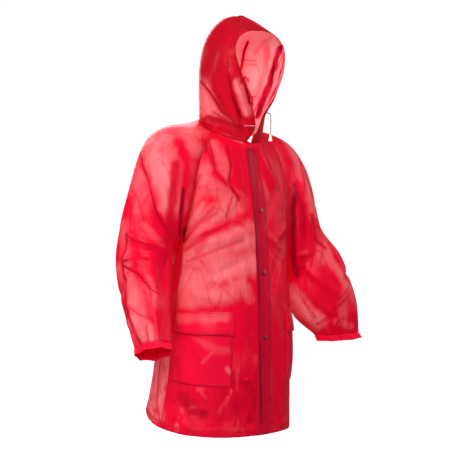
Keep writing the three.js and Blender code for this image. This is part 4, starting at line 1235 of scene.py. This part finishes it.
class RAINCOAT_OT_stage(bpy.types.Operator):
    """Adds the floor, the lights and the camera"""

    bl_idname = "raincoat.stage"
    bl_label = "Stage"

    # name, place, size, power
    lamps = [
        ("key", (-1.9, -1.7, 0.9), 1.5, 80),
        ("near_side", (-2.5, 1.0, 0.6), 0.9, 30),
        ("far_side", (2.7, -1.1, 0.6), 1.6, 27),
        ("behind", (1.2, 2.4, 1.0), 1.8, 130),
        ("over", (-0.2, -0.4, 2.3), 1.0, 14),
    ]

    def execute(self, context):
        sizes = context.scene.raincoat
        turn = sizes.turn
        across = Vector((math.cos(turn), math.sin(turn), 0))
        towards = Vector((math.sin(turn), -math.cos(turn), 0))
        target = across * -0.012 + Vector((0, 0, -0.233))
        camera_data = bpy.data.cameras.new("camera")
        camera_data.lens = sizes.lens
        camera_data.clip_end = 50
        camera = bpy.data.objects.new("camera", camera_data)
        camera.location = target + towards * sizes.distance
        camera.rotation_euler = (math.pi / 2, 0, turn)
        context.scene.collection.objects.link(camera)
        context.scene.camera = camera
        mesh = bpy.data.meshes.new("floor")
        half, level = 14.0, -1.15
        corners = [(-half, -half, level), (half, -half, level), (half, half, level), (-half, half, level)]
        mesh.from_pydata(corners, [], [(0, 1, 2, 3)])
        floor = add_object("floor", mesh)
        floor.data.materials.append(material("lit floor"))
        for name, place, size, power in self.lamps:
            data = bpy.data.lights.new(name, "AREA")
            data.size = size
            data.energy = power
            lamp = bpy.data.objects.new(name, data)
            lamp.location = place
            aim = Vector((0, 0, -0.25)) - Vector(place)
            lamp.rotation_euler = aim.to_track_quat("-Z", "Y").to_euler()
            context.scene.collection.objects.link(lamp)
        world = bpy.data.worlds.new("white room")
        world.use_nodes = True
        tree = world.node_tree
        tree.nodes.clear()
        seen = node(tree, "ShaderNodeBackground", Color=(1, 1, 1, 1), Strength=1.05).outputs[0]
        cast = node(tree, "ShaderNodeBackground", Color=(1, 1, 1, 1), Strength=0.16).outputs[0]
        by_eye = node(tree, "ShaderNodeLightPath").outputs["Is Camera Ray"]
        both = node(tree, "ShaderNodeMixShader", i0=by_eye, i1=cast, i2=seen)
        node(tree, "ShaderNodeOutputWorld", Surface=both.outputs[0])
        context.scene.world = world
        context.scene.view_settings.view_transform = "Standard"
        return {"FINISHED"}


class RAINCOAT_OT_body(bpy.types.Operator):
    """Adds the fronts and the back"""

    bl_idname = "raincoat.body"
    bl_label = "Fronts and back"

    def execute(self, context):
        for name in ("front_right", "front_left", "back"):
            add_panel(name, "body film")
        return {"FINISHED"}


class RAINCOAT_OT_sleeves(bpy.types.Operator):
    """Adds the sleeves and their gathered ends"""

    bl_idname = "raincoat.sleeves"
    bl_label = "Sleeves"

    def execute(self, context):
        for name, table, side in (("right", RIGHT_SLEEVE, -1), ("left", LEFT_SLEEVE, 1)):
            add_panel("sleeve_" + name, "body film")
            self.add_cuff(name, table, side)
        return {"FINISHED"}

    def add_cuff(self, name, table, side):
        """The ruffle past the elastic, a ring with its gathers."""
        down, across = np.meshgrid(
            np.linspace(0, 1, CUFF_ROWS), np.arange(CUFF_COLUMNS) / CUFF_COLUMNS, indexing="ij"
        )
        angle = across * 360 if side > 0 else 360 - across * 360
        one = np.ones_like(angle)
        ends = sleeve_tube(table, side, one, angle)
        middle = ends[0].mean(0)
        axis = unit(middle - sleeve_tube(table, side, one * 0.95, angle)[0].mean(0))
        outwards = unit(ends - middle)
        a = np.radians(angle)
        wave = np.cos(a * CUFF_GATHERS) + 0.35 * np.cos(a * 9 + 1.3) + 0.3 * np.cos(a * 23 + 0.4)
        out = CUFF_FLARE * down + CUFF_DEPTH * wave * smooth(down * 4) * (0.75 - 0.45 * down)
        drop = CUFF_LENGTH * down + 0.5 * np.sin(a * 5) * down
        grid = ends + outwards * out[..., None] + axis * drop[..., None]
        piece = add_wall("cuff_" + name, grid, grid - outwards * WALL, "doubled film", tube=True)
        closed = np.concatenate([grid, grid[:, :1]], axis=1)
        state_sheet(closed)


class RAINCOAT_OT_hood(bpy.types.Operator):
    """Adds the hood's halves"""

    bl_idname = "raincoat.hood"
    bl_label = "Hood"

    def execute(self, context):
        for name in ("hood_right", "hood_left"):
            add_panel(name, "hood film", "hood inside")
        return {"FINISHED"}


class RAINCOAT_OT_trims(bpy.types.Operator):
    """Adds the storm flap, the pockets and their flaps"""

    bl_idname = "raincoat.trims"
    bl_label = "Storm flap and pockets"

    def execute(self, context):
        self.add_placket()
        for side in ("right", "left"):
            self.add_pocket(side)
        return {"FINISHED"}

    def add_placket(self):
        """The storm flap, from one front's edge over the other's."""
        rows = np.linspace(0.7 / (YOKE_ROWS + BODY_ROWS), 1, 150)
        places = np.linspace(-1, 1, 15)
        outer = np.zeros((len(rows), len(places), 3))
        inner = np.zeros_like(outer)
        for i, row in enumerate(rows):
            for j, place in enumerate(places):
                front = "front_right" if place < 0 else "front_left"
                away = -place * PLACKET_RIGHT if place < 0 else place * PLACKET_LEFT
                spot = (front, np.array(row), np.array(column_share(front, row, away)))
                gap = 0.8 + 0.5 * (place < -0.8) + 0.4 * math.sin(row * 38)
                outer[i, j] = sample(*spot, gap + TRIM_WALL)
                inner[i, j] = sample(*spot, gap)
        add_trim("placket", outer, inner, "storm flap film")

    def laid(self, side, first_row, last_row, start, end, lift):
        """Outer and inner grids of a piece laid on a front, from its rows and its reach across."""
        front = "front_" + side
        down, across = panel_grid(44, 40)
        rows = (first_row + (last_row - first_row) * down) / (YOKE_ROWS + BODY_ROWS)
        middle = (first_row + last_row) / 2 / (YOKE_ROWS + BODY_ROWS)
        ends = sorted(float(column_share(front, middle, away)) for away in (start, end))
        columns = ends[0] + (ends[1] - ends[0]) * across
        out = lift(across, down)
        return sample(front, rows, columns, out + TRIM_WALL), sample(front, rows, columns, out)

    def add_pocket(self, side):
        """A patch pocket that stands off a little, and its flap."""
        end = POCKET_START + POCKET_WIDTH
        top, foot, flap_top, flap_foot = POCKET_ROWS

        def bag_lift(across, down):
            puff = np.sin(np.pi * np.clip(across, 0, 1)) ** 0.8 * np.sin(np.pi * np.clip(down, 0, 1)) ** 0.8
            sag = 1.2 * np.sin(across * 9 + down * 4) * puff
            return 0.4 + POCKET_PUFF * puff + sag

        def flap_lift(across, down):
            under = bag_lift(across, (flap_top + (flap_foot - flap_top) * down - top) / (foot - top))
            return under + 1.4 + 2.0 * smooth(down) + 0.8 * np.sin(across * 7) * down

        bag = self.laid(side, top, foot, POCKET_START, end, bag_lift)
        add_trim("pocket_" + side, *bag, "doubled film")
        flap = self.laid(side, flap_top, flap_foot, POCKET_START - 3, end + 3, flap_lift)
        add_trim("pocket_flap_" + side, *flap, "doubled film")


class RAINCOAT_OT_studs(bpy.types.Operator):
    """Adds the press studs on the storm flap"""

    bl_idname = "raincoat.studs"
    bl_label = "Press studs"

    # radius and height of the cap's profile, in mm
    profile = [
        (0, 0), (5.8, 0), (6.0, 0.3), (6.0, 0.9), (5.6, 1.4), (4.7, 1.7), (3.9, 1.6), (3.5, 1.8), (2.2, 2.3),
        (0, 2.5),
    ]
    sunk = 0.0012

    def execute(self, context):
        sides = context.scene.raincoat.snap_sides
        for number, row in enumerate(STUD_ROWS, 1):
            name = "snap_%d" % number
            low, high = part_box(name)
            spot = ("front_left", np.array(row / (YOKE_ROWS + BODY_ROWS)), np.zeros(()))
            normal = Vector(unit(sample(*spot, np.array(1.0)) - sample(*spot, np.array(0.0))))
            foot = (Vector(low) + Vector(high)) / 2 - normal * self.sunk
            cap = turned_form(name + "_cap", self.profile, sides, foot, normal)
            finish_piece(cap, [name], "moulded red")
        return {"FINISHED"}


def edge_row(name, edge, away, count, start=0.0, end=1.0):
    """Row and column shares of a line that keeps its distance from one edge of a panel."""
    grid, _ = panel(name)
    across, down = lengths_of(grid)
    steps = np.linspace(start, end, count)
    shares = np.zeros(count)
    for i, step in enumerate(steps):
        if edge in ("first", "last"):
            walked = across[int(round(step * (grid.shape[0] - 1)))]
        else:
            walked = down[:, int(round(step * (grid.shape[1] - 1)))]
        goal = away if edge in ("first", "top") else walked[-1] - away
        shares[i] = np.interp(goal, walked, np.linspace(0, 1, len(walked)))
    return (steps, shares) if edge in ("first", "last") else (shares, steps)


def stitch_tree():
    """Geometry nodes that lay short stitches along lines."""
    tree = bpy.data.node_groups.new("Stitches", "GeometryNodeTree")
    face = tree.interface
    face.new_socket("Geometry", in_out="INPUT", socket_type="NodeSocketGeometry")
    for label, size in (("Stitch Length", 0.0032), ("Stitch Pitch", 0.0042), ("Thread Thickness", 0.0007)):
        socket = face.new_socket(label, in_out="INPUT", socket_type="NodeSocketFloat")
        socket.default_value = size
        socket.subtype = "DISTANCE"
    face.new_socket("Geometry", in_out="OUTPUT", socket_type="NodeSocketGeometry")
    given = tree.nodes.new("NodeGroupInput")
    curve = node(tree, "GeometryNodeMeshToCurve", Mesh=given.outputs["Geometry"])
    pitch, thickness = given.outputs["Stitch Pitch"], given.outputs["Thread Thickness"]
    spaced = node(tree, "GeometryNodeResampleCurve", {"mode": "LENGTH"}, Curve=curve.outputs[0], Length=pitch)
    tangent = tree.nodes.new("GeometryNodeInputTangent")
    turned = node(tree, "FunctionNodeAlignRotationToVector", {"axis": "Z"}, Vector=tangent.outputs[0])
    radius = node(tree, "ShaderNodeMath", PRODUCT, i0=thickness, i1=0.5)
    stitch = node(
        tree,
        "GeometryNodeMeshCylinder",
        Vertices=5,
        Radius=radius.outputs[0],
        Depth=given.outputs["Stitch Length"],
    )
    placed = node(
        tree,
        "GeometryNodeInstanceOnPoints",
        Points=spaced.outputs[0],
        Instance=stitch.outputs[0],
        Rotation=turned.outputs[0],
    )
    real = node(tree, "GeometryNodeRealizeInstances", Geometry=placed.outputs[0])
    painted = node(tree, "GeometryNodeSetMaterial", Geometry=real.outputs[0], Material=material("red thread"))
    out = tree.nodes.new("NodeGroupOutput")
    tree.links.new(painted.outputs[0], out.inputs[0])
    return tree


def stitched(name, lines, sizes):
    """A plain mesh of stitches along lines of points in mm."""
    vertices, edges = [], []
    for line in lines:
        first = len(vertices)
        vertices += (line * MM).tolist()
        edges += [(first + i, first + i + 1) for i in range(len(line) - 1)]
    guide = add_object(name + "_line", bpy.data.meshes.new(name + "_line"))
    guide.data.from_pydata(vertices, edges, [])
    modifier = guide.modifiers.new("Stitches", "NODES")
    tree = bpy.data.node_groups.get("Stitches") or stitch_tree()
    modifier.node_group = tree
    keys = {item.name: item.identifier for item in tree.interface.items_tree if item.in_out == "INPUT"}
    modifier[keys["Stitch Length"]] = sizes.stitch
    modifier[keys["Stitch Pitch"]] = sizes.stitch * 1.35
    modifier[keys["Thread Thickness"]] = sizes.thread
    evaluated = guide.evaluated_get(bpy.context.evaluated_depsgraph_get())
    mesh = bpy.data.meshes.new_from_object(evaluated)
    mesh.name = name
    bpy.data.objects.remove(guide)
    return add_object(name, mesh)


class RAINCOAT_OT_stitches(bpy.types.Operator):
    """Adds the rows of stitches along hems, seams, flaps and casings"""

    bl_idname = "raincoat.stitches"
    bl_label = "Stitches"

    # panel, edge, distance from it, points, and the part of the edge that is sewn
    rows = [
        ("front_right", "bottom", 15, 90, 0, 1),
        ("front_left", "bottom", 15, 90, 0, 1),
        ("back", "bottom", 15, 170, 0, 1),
        ("front_right", "first", 4, 120, 0.01, 0.99),
        ("front_left", "last", 4, 120, 0.01, 0.99),
        ("sleeve_right", "first", 4, 60, 0.01, 0.37),
        ("sleeve_right", "last", 4, 60, 0.01, 0.37),
        ("sleeve_left", "first", 4, 60, 0.01, 0.37),
        ("sleeve_left", "last", 4, 60, 0.01, 0.37),
        ("sleeve_right", "bottom", 3, 90, 0, 1),
        ("sleeve_left", "bottom", 3, 90, 0, 1),
        ("hood_right", "last", 16, 90, 0.02, 0.95),
        ("hood_left", "first", 16, 90, 0.02, 0.95),
        ("hood_right", "first", 4, 90, 0.01, 0.99),
        ("hood_left", "last", 4, 90, 0.01, 0.99),
        ("hood_right", "bottom", 3, 60, 0.02, 0.98),
        ("hood_left", "bottom", 3, 60, 0.02, 0.98),
    ]

    def execute(self, context):
        lines = []
        for name, edge, away, count, start, end in self.rows:
            row, column = edge_row(name, edge, away, count, start, end)
            lines.append(sample(name, row, column, STITCH_LIFT))
        piece = stitched("stitches_seams", lines, context.scene.raincoat)
        finish_piece(piece, [], "red thread")
        lines = []
        for grid in TRIM_GRIDS:
            rows, columns = grid.shape[:2]
            line = grid + normals_of(grid) * STITCH_LIFT
            r, c = inset_index(grid, STITCH_INSET, 0), inset_index(grid, STITCH_INSET, 1)
            lines += [
                line[r : rows - r, c],
                line[r : rows - r, columns - 1 - c],
                line[rows - 1 - r, c : columns - c],
                line[r, c : columns - c],
            ]
        piece = stitched("stitches_trims", lines, context.scene.raincoat)
        finish_piece(piece, [], "red thread")
        return {"FINISHED"}


def inset_index(grid, inset, axis):
    """How many grid lines lie within a distance of the edge."""
    middle = grid[:, grid.shape[1] // 2] if axis == 0 else grid[grid.shape[0] // 2]
    walked = np.concatenate([[0], np.cumsum(np.linalg.norm(np.diff(middle, axis=0), axis=-1))])
    return max(1, int(np.searchsorted(walked, inset)))


class RAINCOAT_OT_cords(bpy.types.Operator):
    """Adds the drawcord's free ends and their stoppers"""

    bl_idname = "raincoat.cords"
    bl_label = "Drawcord"

    # radius and height down the bell, in mm, and how far its top stands off the cord's end
    bell = [
        (0, 0), (2.2, 0), (2.6, 0.6), (2.9, 3), (3.2, 6), (3.9, 10), (4.8, 13.4), (5.1, 14.5), (4.9, 15),
        (3.6, 15), (3.2, 14), (0, 14),
    ]
    sides, stand_off = 32, 0.4

    def execute(self, context):
        for name, side, (at, back, way) in (("right", -1, CORD_RIGHT), ("left", 1, CORD_LEFT)):
            start = hood_surface(side, np.array(at), np.array(back))
            by_edge = hood_surface(side, np.array(at), np.array(back + 0.05)) - start
            upwards = hood_surface(side, np.array(at + 0.03), np.array(back)) - start
            outwards = unit(np.cross(by_edge, upwards)) * side
            points = [start + outwards * 0.95, start + outwards * 4] + [np.array(p, float) for p in way]
            path = self.smooth_path(points)
            cord = self.tube("cord_%s_braid" % name, path, CORD_DIAMETER / 2)
            finish_piece(cord, ["cord_" + name], "white braid")
            end, direction = Vector(path[-1]) * MM, Vector(unit(path[-1] - path[-2]))
            stopper_name = "stopper_%s_bell" % name
            stopper = turned_form(stopper_name, self.bell, self.sides, end, direction, self.stand_off)
            finish_piece(stopper, ["stopper_" + name], "moulded white")
        return {"FINISHED"}

    def smooth_path(self, points):
        """A smooth line through the points, with about two steps to a diameter."""
        table = []
        walked = 0.0
        for i, p in enumerate(points):
            walked += float(np.linalg.norm(p - points[i - 1])) if i else 0.0
            table.append((walked, *p))
        return along(table, np.linspace(0, walked, 40))[:, 1:]

    def tube(self, name, path, radius):
        """A round braid along the path, with its strands' relief."""
        tangent = unit(np.gradient(path, axis=0))
        aside = unit(np.cross(tangent, np.array([1.0, 0.2, 0.1])))
        over = np.cross(tangent, aside)
        angle = np.linspace(0, 2 * np.pi, 17)[:-1]
        ring = aside[:, None] * np.cos(angle)[None, :, None] + over[:, None] * np.sin(angle)[None, :, None]
        weave = 1 + 0.06 * np.sin(angle[None, :] * 4 + np.arange(len(path))[:, None] * 1.6)
        grid = path[:, None] + ring * radius * weave[..., None]
        rings, sides = grid.shape[:2]
        faces = ring_faces(rings, sides)
        faces.append(tuple(range(sides)))
        faces.append(tuple(range((rings - 1) * sides, rings * sides)))
        return closed_form(name, (grid.reshape(-1, 3) * MM).tolist(), faces)


class RAINCOAT_PT_pieces(bpy.types.Panel):
    """The coat's pieces in the sidebar"""

    bl_label = "Raincoat"
    bl_idname = "RAINCOAT_PT_pieces"
    bl_space_type = "VIEW_3D"
    bl_region_type = "UI"
    bl_category = "Raincoat"

    def draw(self, context):
        sizes = context.scene.raincoat
        for name in RaincoatSizes.__annotations__:
            self.layout.prop(sizes, name)
        for operator in OPERATORS:
            self.layout.operator(operator.bl_idname)


OPERATORS = (
    RAINCOAT_OT_stage,
    RAINCOAT_OT_cords,
    RAINCOAT_OT_body,
    RAINCOAT_OT_sleeves,
    RAINCOAT_OT_hood,
    RAINCOAT_OT_trims,
    RAINCOAT_OT_studs,
    RAINCOAT_OT_stitches,
)
CLASSES = (RaincoatSizes, *OPERATORS, RAINCOAT_PT_pieces)


def register():
    for item in CLASSES:
        bpy.utils.register_class(item)
    bpy.types.Scene.raincoat = PointerProperty(type=RaincoatSizes)


def unregister():
    del bpy.types.Scene.raincoat
    for item in reversed(CLASSES):
        bpy.utils.unregister_class(item)


def main():
    register()
    bpy.ops.raincoat.stage()
    bpy.ops.raincoat.cords()
    bpy.ops.raincoat.body()
    bpy.ops.raincoat.sleeves()
    bpy.ops.raincoat.hood()
    bpy.ops.raincoat.trims()
    bpy.ops.raincoat.studs()
    bpy.ops.raincoat.stitches()


if __name__ == "__main__":
    main()
